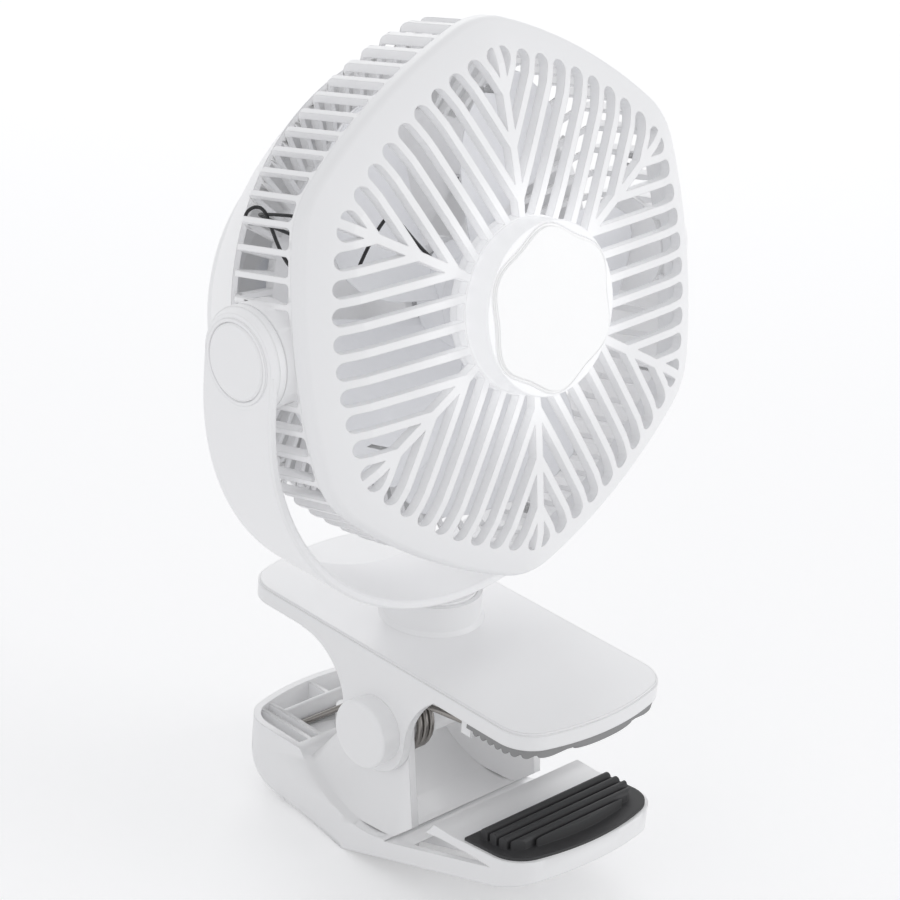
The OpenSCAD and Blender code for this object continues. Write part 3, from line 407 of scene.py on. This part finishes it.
print("other plastics:", [m.name for m in (BUTTON_GREY, BLACK, SLEEVE, CELL_FILM)])

# %% [markdown]
# Rubber is matt, slightly mottled and grey at its rubbed high spots. The skin group
# already gives the mottling, so the two pads only ask it for a coarser and deeper grain
# instead of having a recipe of their own.
# %% Rubbers
PALE_RUBBER = moulded(
    "pad_pale", (0.30, 0.30, 0.30), (0.25, 0.25, 0.255), 0.68, spread=0.08, grain=0.4, scale=900.0
)
DARK_RUBBER = moulded(
    "pad_dark", (0.04, 0.04, 0.042), (0.055, 0.055, 0.057), 0.62, spread=0.1, grain=0.45, scale=900.0
)
print("rubbers:", PALE_RUBBER.name, DARK_RUBBER.name)

# %% [markdown]
# Drawn spring wire and turned pins carry fine lines along the way that the metal was
# pulled. Lines could be modelled, but they are far finer than the mesh, so a stretched
# noise drives both the shine and a very small bump.
# %% Metals
LINE_STRETCH = (120, 1500, 1500)
LINE_HEIGHT = 0.02


def build_drawn_lines():
    group, have, give = new_group(
        "drawn_lines",
        [("Roughness", "NodeSocketFloat", 0.3), ("Depth", "NodeSocketFloat", 0.25)],
        [("Roughness", "NodeSocketFloat"), ("Tone", "NodeSocketFloat"), ("Normal", "NodeSocketVector")],
    )
    place = group.nodes.new("ShaderNodeTexCoord").outputs["Object"]
    stretch = group.nodes.new("ShaderNodeMapping")
    stretch.inputs["Scale"].default_value = LINE_STRETCH
    group.links.new(place, stretch.inputs["Vector"])
    lines = noise_node(group, 1.0, 3.0, stretch.outputs["Vector"])
    swing = remap_node(group, lines, -0.12, 0.12)
    group.links.new(math_node(group, "ADD", have.outputs["Roughness"], swing), give.inputs["Roughness"])
    group.links.new(remap_node(group, lines, 0.75, 1.1), give.inputs["Tone"])
    bump = group.nodes.new("ShaderNodeBump")
    bump.inputs["Distance"].default_value = LINE_HEIGHT * MM
    group.links.new(have.outputs["Depth"], bump.inputs["Strength"])
    group.links.new(lines, bump.inputs["Height"])
    group.links.new(bump.outputs["Normal"], give.inputs["Normal"])
    return group


DRAWN_LINES = build_drawn_lines()


def metal(name, colour, roughness):
    mat, tree, shader = principled(name)
    drawn = tree.nodes.new("ShaderNodeGroup")
    drawn.node_tree = DRAWN_LINES
    drawn.inputs["Roughness"].default_value = roughness
    tint = tree.nodes.new("ShaderNodeMix")
    tint.data_type, tint.blend_type = "RGBA", "MULTIPLY"
    tint.inputs["Factor"].default_value = 1
    tint.inputs["A"].default_value = (*colour, 1)
    tree.links.new(drawn.outputs["Tone"], tint.inputs["B"])
    tree.links.new(tint.outputs["Result"], shader.inputs["Base Color"])
    tree.links.new(drawn.outputs["Roughness"], shader.inputs["Roughness"])
    tree.links.new(drawn.outputs["Normal"], shader.inputs["Normal"])
    shader.inputs["Metallic"].default_value = 1
    return mat


STEEL = metal("turned_steel", (0.62, 0.62, 0.63), 0.28)
SPRING_STEEL = metal("spring_wire_steel", (0.30, 0.285, 0.27), 0.32)
print("metals:", STEEL.name, SPRING_STEEL.name)

# %% [markdown]
# The lit hub shines on the roots of the grille bars and soaks into their white plastic,
# and the light fades over a few centimetres. Lamps behind the lens would do it slowly and
# with noise, so the glow is a mask that falls off with the distance from the middle of
# the hub. It feeds the emission of the grille only, on top of the even painted glow.
# %% Glow round the hub
HUB_W = -6.5
GLOW_START, GLOW_END = 24.0, 62.0
GLOW_CURVE = 1.6
GLOW_COLOUR = (0.98, 0.99, 1, 1)


def build_hub_glow():
    group, have, give = new_group(
        "hub_glow",
        [("Strength", "NodeSocketFloat", 0.5), ("Base", "NodeSocketFloat", 0.0)],
        [("Emission", "NodeSocketColor")],
    )
    place = group.nodes.new("ShaderNodeTexCoord").outputs["Object"]
    middle = group.nodes.new("ShaderNodeVectorMath")
    middle.operation = "DISTANCE"
    middle.inputs[1].default_value = HEAD @ Vector((0, 0, HUB_W))
    group.links.new(place, middle.inputs[0])
    fall = group.nodes.new("ShaderNodeMapRange")
    fall.interpolation_type = "SMOOTHERSTEP"
    fall.inputs["From Min"].default_value = GLOW_START * MM
    fall.inputs["From Max"].default_value = GLOW_END * MM
    fall.inputs["To Min"].default_value = 1
    fall.inputs["To Max"].default_value = 0
    group.links.new(middle.outputs["Value"], fall.inputs["Value"])
    curve = math_node(group, "POWER", fall.outputs["Result"], GLOW_CURVE)
    level = math_node(group, "MULTIPLY", curve, have.outputs["Strength"])
    level = math_node(group, "ADD", level, have.outputs["Base"])
    tint = group.nodes.new("ShaderNodeMix")
    tint.data_type = "RGBA"
    tint.inputs["A"].default_value = (0, 0, 0, 1)
    tint.inputs["B"].default_value = GLOW_COLOUR
    group.links.new(level, tint.inputs["Factor"])
    group.links.new(tint.outputs["Result"], give.inputs["Emission"])
    return group


HUB_GLOW = build_hub_glow()


def add_glow(mat, strength, base):
    tree = mat.node_tree
    shader = tree.nodes["Principled BSDF"]
    glow = tree.nodes.new("ShaderNodeGroup")
    glow.node_tree = HUB_GLOW
    glow.inputs["Strength"].default_value = strength
    glow.inputs["Base"].default_value = base
    tree.links.new(glow.outputs["Emission"], shader.inputs["Emission Color"])
    shader.inputs["Emission Strength"].default_value = 1
    return mat


# The grille's emission: the hub's glow mask on top of an even painted glow that lightens its shade.
GRILLE_GLOW, GRILLE_PAINTED_GLOW = 0.14, 0.06
GRILLE_WHITE = add_glow(
    moulded("grille_white", (0.88, 0.88, 0.885), (0.855, 0.855, 0.87), 0.38), GRILLE_GLOW, GRILLE_PAINTED_GLOW
)
print("glow reaches", GLOW_END, "mm")

# %% [markdown]
# The diffuser is milky plastic with the light chips right behind it, so lit it is the
# whitest thing on the fan. Its own emission is small, because it only has to bring the
# white plastic up to the white of the page and not past it.
# %% Diffuser
LENS_GLOW = 0.15
LENS_LIT = moulded("diffuser_lit", (0.9, 0.9, 0.9), (0.88, 0.88, 0.88), 0.3, grain=0.04)
lens_shader = LENS_LIT.node_tree.nodes["Principled BSDF"]
lens_shader.inputs["Emission Color"].default_value = (1, 1, 1, 1)
lens_shader.inputs["Emission Strength"].default_value = LENS_GLOW
print("diffuser:", LENS_LIT.name)

# %% [markdown]
# The parts inside are seen only as shapes behind the grille and the slats, but each still
# has what it is made of: solder mask on the boards, cast resin over the chips and a clear
# light pipe. They use the skin group too, with a finer or a smoother grain.
# %% Inner parts
BOARD_WHITE = moulded("board_white", (0.78, 0.78, 0.74), (0.74, 0.74, 0.70), 0.3)
BOARD_GREEN = moulded("board_green", (0.02, 0.11, 0.04), (0.015, 0.085, 0.03), 0.25, grain=0.2, scale=1200.0)
CHIP_RESIN = moulded("chip_resin", (0.85, 0.62, 0.18), (0.8, 0.56, 0.14), 0.2)
LIGHT_PIPE = moulded("pipe_clear", (0.70, 0.76, 0.80), (0.66, 0.72, 0.77), 0.15, grain=0.02)
print("inner parts:", [m.name for m in (BOARD_WHITE, BOARD_GREEN, CHIP_RESIN, LIGHT_PIPE)])

# %% [markdown]
# Every node of the frame gets one finish, and a table holds that, so that a part is easy
# to look up.
# %% Finish of each part
FINISH = {
    "front_grille": GRILLE_WHITE, "led_lens": LENS_LIT, "led_board": BOARD_WHITE,
    "led_chips": CHIP_RESIN, "hub_cover": INNER_WHITE, "rear_housing": WHITE,
    "rear_pod": WHITE, "pod_screws": STEEL, "motor": STEEL, "motor_shaft": STEEL,
    "impeller": BLADE_WHITE, "battery_cells": CELL_FILM, "battery_holder": BLACK,
    "control_board": BOARD_GREEN, "usb_port": STEEL, "speed_button": BUTTON_GREY,
    "light_button": BUTTON_GREY, "charge_lights": LIGHT_PIPE, "led_wires": SLEEVE,
    "yoke": WHITE, "pivot_screws": STEEL, "pivot_caps": WHITE, "swivel_washer": STEEL,
    "swivel_screw": STEEL, "clip_upper_arm": CLIP_WHITE, "clip_lower_arm": CLIP_WHITE,
    "hinge_pin": STEEL, "pin_caps": CLIP_WHITE, "torsion_spring": SPRING_STEEL,
    "upper_pad": PALE_RUBBER, "lower_pad": DARK_RUBBER,
}
PLAIN_EDGE, WIRE_EDGE = 30, 50


def wear(obj, mat):
    obj.data.materials.clear()
    obj.data.materials.append(mat)


for name, node in NODES.items():
    wear(node, FINISH[name])
    node.data.shade_smooth()
    edge = WIRE_EDGE if name == "torsion_spring" else PLAIN_EDGE
    node.data.set_sharp_from_angle(angle=math.radians(edge))
print("nodes without a finish:", sorted(set(NODES) - set(FINISH)))

# %% [markdown]
# The plain frame has some forms only as straight walls or flat ends, where the real
# moulding is domed, bowled or rounded. Such a part could be modelled again, but a
# reshaped copy keeps every hole and rib in its place. The node is merged into one skin,
# cut across where it has to bend, and each of its points is moved by a function. Flat
# areas are joined again at the end, and the copy stands for the node.
# %% Reshaped skins
HEAD_BACK = HEAD.inverted()
MERGE = 0.002
FLAT_WITHIN, SHARP_OVER = 0.6, 40


def skin_of(name):
    """The node's mesh as one merged skin."""
    bm = bmesh.new()
    bm.from_mesh(NODES[name].data)
    bmesh.ops.remove_doubles(bm, verts=bm.verts, dist=MERGE * MM)
    return bm


def cut_across(bm, place, normal):
    whole = bm.verts[:] + bm.edges[:] + bm.faces[:]
    bmesh.ops.bisect_plane(bm, geom=whole, plane_co=place, plane_no=normal)


def reshape(bm, move, frame_in, frame_out):
    """Move every point by a function of its place in another frame."""
    for v in bm.verts:
        v.co = frame_out @ Vector(move(*(frame_in @ v.co)))


def link_piece(name, mesh):
    obj = bpy.data.objects.new(name, mesh)
    bpy.context.scene.collection.objects.link(obj)
    return obj


def stand_in(name, mesh):
    """Put the mesh in the scene in place of the node."""
    obj = link_piece(name + "_skin", mesh)
    wear(obj, FINISH[name])
    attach(obj, BODY_OF[name])
    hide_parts(name)
    return obj


def stand_for(name, bm):
    """Join the flat areas of the skin and put it in the scene in place of the node."""
    bmesh.ops.dissolve_limit(
        bm,
        angle_limit=math.radians(FLAT_WITHIN),
        use_dissolve_boundaries=False,
        verts=bm.verts,
        edges=bm.edges,
    )
    mesh = bpy.data.meshes.new(name + "_skin")
    bm.to_mesh(mesh)
    bm.free()
    mesh.shade_smooth()
    mesh.set_sharp_from_angle(angle=math.radians(SHARP_OVER))
    return stand_in(name, mesh)


print("skins can be made of", len(NODES), "nodes")

# %% [markdown]
# The hub is hardly wider than the lens in its face, and it stands proud of the bars. Its
# wall is drawn in, and the ends of the bars follow it, each along its own straight line
# so that the bars of one sector stay parallel. Scaling the whole grille towards the axis
# would be simpler, but it would tilt the bars. Next to a rib they end on the rib.
# %% Hub lines
HUB_R, RING_R, FACE_EDGE = 29.0, 30.0, 26.8
HUB_NOW, RING_NOW, FACE_NOW = 26.5, 27.1, 25.75
ON_WALL = 0.05
SECTOR = 60
RIB_SIDE, RIB_INSET = 27.6, 0.2


def along_bar(x, y, new):
    """A point on the ring or the wall under it, carried inward along the bar that ends there."""
    turn = math.degrees(math.atan2(y, x))
    middle = SECTOR * round(turn / SECTOR)
    off = turn - middle
    side = abs(off)
    rib = RIB_SIDE - RIB_INSET
    if side < RIB_SIDE:
        across = min(1, math.sin(math.radians(side)) * RING_R / RING_NOW)
        side = min(math.degrees(math.asin(across)), rib)
    else:
        side = rib + (side - RIB_SIDE) * (SECTOR / 2 - rib) / (SECTOR / 2 - RIB_SIDE)
    turn = math.radians(middle + math.copysign(side, off))
    return new * math.cos(turn), new * math.sin(turn)


def hub_radius(r):
    if r <= FACE_EDGE:
        return r * FACE_NOW / FACE_EDGE
    return FACE_NOW + (r - FACE_EDGE) * (HUB_NOW - FACE_NOW) / (HUB_R - FACE_EDGE)


print("hub radius goes from", HUB_R, "to", hub_radius(HUB_R), "mm")

# %% [markdown]
# The face of the hub and its lens also come a little forward, while the wall behind them
# stays where the bars meet it. The light board and the cover inside only get the smaller
# round. No cut is needed for this, so these four copies keep the triangles and the corner
# normals of their nodes, which shade the long thin faces of the bars best.
# %% Hub pieces
FORWARD, FORWARD_FROM, FORWARD_LONG = 2.0, 1.0, 3.5
WALL_TOP = -4.5


def shape_hub(x, y, w):
    """The ring and the wall follow the bars; the face inside them shrinks and comes forward."""
    r = math.hypot(x, y)
    if r > RING_R + ON_WALL or r < 1:
        return x, y, w
    if r > HUB_R + ON_WALL:
        return *along_bar(x, y, RING_NOW), w
    if r > HUB_R - 2 * ON_WALL and w > WALL_TOP:
        return *along_bar(x, y, HUB_NOW), w
    near = hub_radius(r) / r
    return x * near, y * near, w - FORWARD * min(1, max(0, (FORWARD_FROM - w) / FORWARD_LONG))


def shape_inside(x, y, w):
    r = min(HUB_R, max(1, math.hypot(x, y)))
    near = hub_radius(r) / r
    return x * near, y * near, w


def moved_copy(name, move):
    """A copy with the node's own triangles and normals, and every point moved."""
    mesh = NODES[name].data.copy()
    mesh.name = name + "_skin"
    for v in mesh.vertices:
        v.co = HEAD @ Vector(move(*(HEAD_BACK @ v.co)))
    return stand_in(name, mesh)


HUB_MOVES = {
    "front_grille": shape_hub, "led_lens": shape_hub, "led_board": shape_inside, "hub_cover": shape_inside,
}
for name, move in HUB_MOVES.items():
    print(name, "points:", len(moved_copy(name, move).data.vertices))

# %% [markdown]
# The back of the drum is a shallow dome, so the slats end further forward at the rim
# than in the middle. Their rear corners are rounded, and the front ends of the slots are
# straight with small corners. All are moves along the fan axis or towards it: the rear
# skin comes forward to the dome, and the half-round ends of the slots spread out to a
# rounded corner of the same slot.
# %% Drum
SLATS, SLOT_HALF, SLOT_FRONT, SLOT_CORNER = 66, 2.906, 17.75, 1.3
SLOT_NEAR, SLOT_MARGIN, SLAT_FROM, CORE_R = 0.12, 0.1, 74, 50
FLANGE_END, REAR_W, REAR_ROUND = 47.6, 58.5, 16
DOME_BACK, DOME_R = 67.8, 148.5
FIN_FROM, FIN_ROUND = 75, 4.5
DRUM_CUTS = (48.5, 50.4, 51.8, 53, 54, 54.6, 55.3, 56, 56.7, 57.2)


def dome_w(r):
    """The dome: a sphere whose rearmost point would lie at DOME_BACK, cut flat at REAR_W."""
    return min(REAR_W, DOME_BACK - DOME_R + math.sqrt(DOME_R**2 - r * r))


def drum_rear_w(r):
    """The plain drum: flat, with a round of REAR_ROUND at its edge."""
    out = max(0, r - SLAT_FROM)
    return REAR_W - REAR_ROUND + math.sqrt(max(0, REAR_ROUND**2 - out * out))


def shape_drum(x, y, w):
    """First the rear skin with the slats' rear corners, then the front ends of the slots."""
    r = math.hypot(x, y)
    if w > FLANGE_END and r > CORE_R:
        deep = max(0, w - drum_rear_w(r) + FIN_ROUND) / FIN_ROUND
        pull = FIN_ROUND * (1 - math.sqrt(max(0, 1 - deep * deep))) if r > FIN_FROM else 0
        near = (r - pull) / r
        return x * near, y * near, w - (drum_rear_w(r) - dome_w(r))
    if r > SLAT_FROM and -SLOT_MARGIN < w - SLOT_FRONT < SLOT_HALF + SLOT_MARGIN:
        step = math.tau / SLATS
        turn = math.atan2(y, x)
        off = turn - (math.floor(turn / step) + 0.5) * step
        across = abs(r * math.sin(off))
        if abs(math.hypot(across, SLOT_FRONT + SLOT_HALF - w) - SLOT_HALF) < SLOT_NEAR:
            past = max(0, min(across, SLOT_HALF) - (SLOT_HALF - SLOT_CORNER))
            return x, y, SLOT_FRONT + SLOT_CORNER - math.sqrt(SLOT_CORNER**2 - past**2)
    return x, y, w


drum = skin_of("rear_housing")
for w in DRUM_CUTS:
    cut_across(drum, HEAD @ Vector((0, 0, w)), HEAD.to_3x3() @ Vector((0, 0, 1)))
reshape(drum, shape_drum, HEAD_BACK, HEAD)
print("drum points:", len(drum.verts))
stand_for("rear_housing", drum)

# %% [markdown]
# The pod is a bowl: a wide round rim on the drum that narrows to the lower, smaller rear
# face with its buttons. The plain pod is a drum with a wide round edge. A new bowl could
# be spun, but the screw bosses, the socket opening and the button holes would have to be
# cut again, so the wall is drawn out to the rim, its edge is tightened, and the bosses
# inside stay.
# %% Pod
POD_DROP, POD_R, POD_FRONT, POD_REAR, POD_EDGE = 8.0, 52.0, 58.5, 89.0, 10
POD_TURN = POD_REAR - POD_EDGE
BOSS_R = 47.5
BOWL_R, BOWL_W, BOWL_EDGE = 74.9, 49.0, 4.5
FACE_R, BULGE = 54.5, 1.5
POD_CUTS = (60.5, 63, 65.5, 68, 70.5, 73, 75, 77)
BOX_SOFT, BOX_SPARE = 2.2 * MM, 0.01 * MM


def shape_pod(x, y, w):
    """First the round edge of the rear face, then the wall from there to the rim."""
    r = math.hypot(x, y - POD_DROP)
    if (r < BOSS_R and w < POD_TURN) or r < POD_R - POD_EDGE or w < POD_FRONT - 1:
        return x, y, w
    ux, uy = x / r, (y - POD_DROP) / r
    if w > POD_TURN:
        reach = math.hypot(r - (POD_R - POD_EDGE), w - POD_TURN)
        turn = math.atan2(w - POD_TURN, r - (POD_R - POD_EDGE))
        reach += BOWL_EDGE - POD_EDGE
        r = FACE_R - BOWL_EDGE + reach * math.cos(turn)
        return r * ux, POD_DROP + r * uy, POD_REAR - BOWL_EDGE + reach * math.sin(turn)
    u = (POD_TURN - w) / (POD_TURN - POD_FRONT)
    r += FACE_R - POD_R + u * (BOWL_R - FACE_R) + BULGE * math.sin(math.pi * u)
    return r * ux, POD_DROP * (1 - u) + r * uy, POD_REAR - BOWL_EDGE + u * (BOWL_W - POD_REAR + BOWL_EDGE)


def hold_in_box(bm):
    """The tighter edge would pass the frame's box at the back, so its last stretch is pressed in."""
    over = max(v.co.y for v in bm.verts) - cad_high.y
    for v in bm.verts:
        past = v.co.y - (cad_high.y - BOX_SOFT)
        if past > 0:
            v.co.y -= past * over / (BOX_SOFT + over) + BOX_SPARE


pod = skin_of("rear_pod")
for w in POD_CUTS:
    cut_across(pod, HEAD @ Vector((0, 0, w)), HEAD.to_3x3() @ Vector((0, 0, 1)))
reshape(pod, shape_pod, HEAD_BACK, HEAD)
hold_in_box(pod)
print("pod points:", len(pod.verts))
stand_for("rear_pod", pod)

# %% [markdown]
# The handle ends in a rounded heel: its lower rear edge curves forward under the hand,
# and the walls of its bowl lean in towards the base. A bevel cannot do this, because the
# tray has ribs and thin walls that must bend with it. The side walls get extra cuts, so
# that the curve has points to follow.
# %% Heel of the lower arm
arm_low, arm_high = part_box("clip_lower_arm")
HEEL_LONG, HEEL_TALL = 30 * MM, 17 * MM
HEEL_Y = arm_high.y + 1 * MM - HEEL_LONG
LEAN_TALL, LEAN_IN = 13 * MM, 5 * MM
LEAN_FROM, LEAN_FADE = 20 * MM, 6 * MM
BOWL_MIDDLE_Y = 88 * MM
BEND_Y, BEND_LONG = 64 * MM, 24 * MM
HEEL_STEPS, HEEL_STEP = 10, 8.5
HEEL_CUTS = (HEEL_TALL / MM, 13, 10, 7.5, 5.5, 3.8, 2.4, 1.2, 0.4)


def lean_of(x, y, z):
    """How far a point near the base moves in towards the middle of the bowl."""
    deep = (arm_low.z + LEAN_TALL - z) / LEAN_TALL
    out = Vector((x, max(0, y - BOWL_MIDDLE_Y), 0))
    near = min(1, max(0, (out.length - LEAN_FROM) / LEAN_FADE)) * min(1, max(0, (y - BEND_Y) / BEND_LONG))
    if deep <= 0 or near <= 0:
        return Vector()
    return out.normalized() * (near * LEAN_IN * (1 - math.sqrt(max(0, 1 - deep * deep))))


def shape_heel(x, y, z):
    """The walls lean in, and the rear of the base rises along a quarter of an ellipse."""
    moved = Vector((x, y, z)) - lean_of(x, y, z)
    if y > HEEL_Y and z < arm_low.z + HEEL_TALL:
        rise = HEEL_TALL * (1 - math.sqrt(max(0, 1 - ((y - HEEL_Y) / HEEL_LONG) ** 2)))
        moved.z = arm_low.z + rise + (z - arm_low.z) * (HEEL_TALL - rise) / HEEL_TALL
    return moved


arm = skin_of("clip_lower_arm")
for k in range(HEEL_STEPS):
    cut_across(arm, (0, HEEL_Y + HEEL_LONG * math.sin(math.radians(HEEL_STEP * k)), 0), (0, 1, 0))
for height in HEEL_CUTS:
    cut_across(arm, (0, 0, arm_low.z + height * MM), (0, 0, 1))
HERE = Matrix.Identity(4)
reshape(arm, shape_heel, HERE, HERE)
print("arm points:", len(arm.verts))
stand_for("clip_lower_arm", arm)


def spring_half(name, side):
    bm = skin_of("torsion_spring")
    whole = bm.verts[:] + bm.edges[:] + bm.faces[:]
    bmesh.ops.bisect_plane(bm, geom=whole, plane_co=(0, 0, 0), plane_no=(-side, 0, 0), clear_outer=True)
    bmesh.ops.holes_fill(bm, edges=[e for e in bm.edges if e.is_boundary])
    mesh = bpy.data.meshes.new(name)
    bm.to_mesh(mesh)
    bm.free()
    mesh.shade_smooth()
    mesh.set_sharp_from_angle(angle=math.radians(WIRE_EDGE))
    obj = link_piece(name, mesh)
    wear(obj, SPRING_STEEL)
    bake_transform(obj)
    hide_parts("torsion_spring")
    return obj


for name, side in (("spring_left", -1), ("spring_right", 1)):
    print(name, "faces:", len(spring_half(name, side).data.polygons))

# %% [markdown]
# The light's two leads are thin and slack. They lie behind a rib of the grille, and one
# swings out beside it before both go back along a corner of the drum to the board in the
# pod. A smooth curve with a round section gives each lead, with more points where it
# turns, and it is made a mesh at its place because the head carries it.
# %% Leads
LEAD_R = 0.55
LEADS = {
    "lead_one": [
        (-12.1, -7, 2.6), (-12.4, -7.2, 7), (-15, -8.7, 9.6), (-28, -18, 10.5), (-36, -29, 12),
        (-39.5, -35.5, 14), (-43.5, -32.5, 14.4), (-48.5, -27.5, 14.8), (-52.4, -22.6, 15),
        (-54, -19.8, 15.4), (-60, -19.5, 17), (-68, -19.5, 20), (-73, -26, 24),
        (-68.5, -36, 34), (-67, -41, 38), (-71, -40.6, 40.5), (-73, -37, 40.5), (-68, -35, 43),
        (-60, -33.5, 48), (-45, -26, 53), (-36, -21, 53.6), (-34.6, -20, 56), (-34.6, -20, 72),
        (-30, -17, 77), (-22, -12.5, 80),
    ],
    "lead_two": [
        (-11.5, -8.2, 2.6), (-11.8, -8.4, 7), (-14.5, -10.6, 9.6), (-32, -19.9, 10.2),
        (-50, -30.1, 12.2), (-62, -36.8, 15), (-68, -39.5, 22), (-68.5, -38.5, 40),
        (-60, -35.5, 48), (-45, -27.5, 53), (-36, -22, 53.6), (-34, -21.3, 56),
        (-34, -21.3, 72), (-29, -18.5, 77), (-21, -14.5, 80),
    ],
}


def lead(name, points):
    curve = bpy.data.curves.new(name, "CURVE")
    curve.dimensions = "3D"
    line = curve.splines.new("NURBS")
    line.points.add(len(points) - 1)
    for spot, place in zip(line.points, points):
        spot.co = (*(HEAD @ Vector(place)), 1)
    line.use_endpoint_u = True
    line.order_u = 4
    line.resolution_u = 5
    curve.bevel_depth = LEAD_R * MM
    curve.bevel_resolution = 2
    curve.use_fill_caps = True
    spare = bpy.data.objects.new(name + "_line", curve)
    bpy.context.scene.collection.objects.link(spare)
    mesh = bpy.data.meshes.new_from_object(spare.evaluated_get(bpy.context.evaluated_depsgraph_get()))
    bpy.data.objects.remove(spare)
    bpy.data.curves.remove(curve)
    mesh.name = name
    mesh.shade_smooth()
    obj = link_piece(name, mesh)
    wear(obj, SLEEVE)
    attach(obj, BODY_OF["led_wires"])
    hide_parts("led_wires")
    return obj


for name, points in LEADS.items():
    print(name, "faces:", len(lead(name, points).data.polygons))
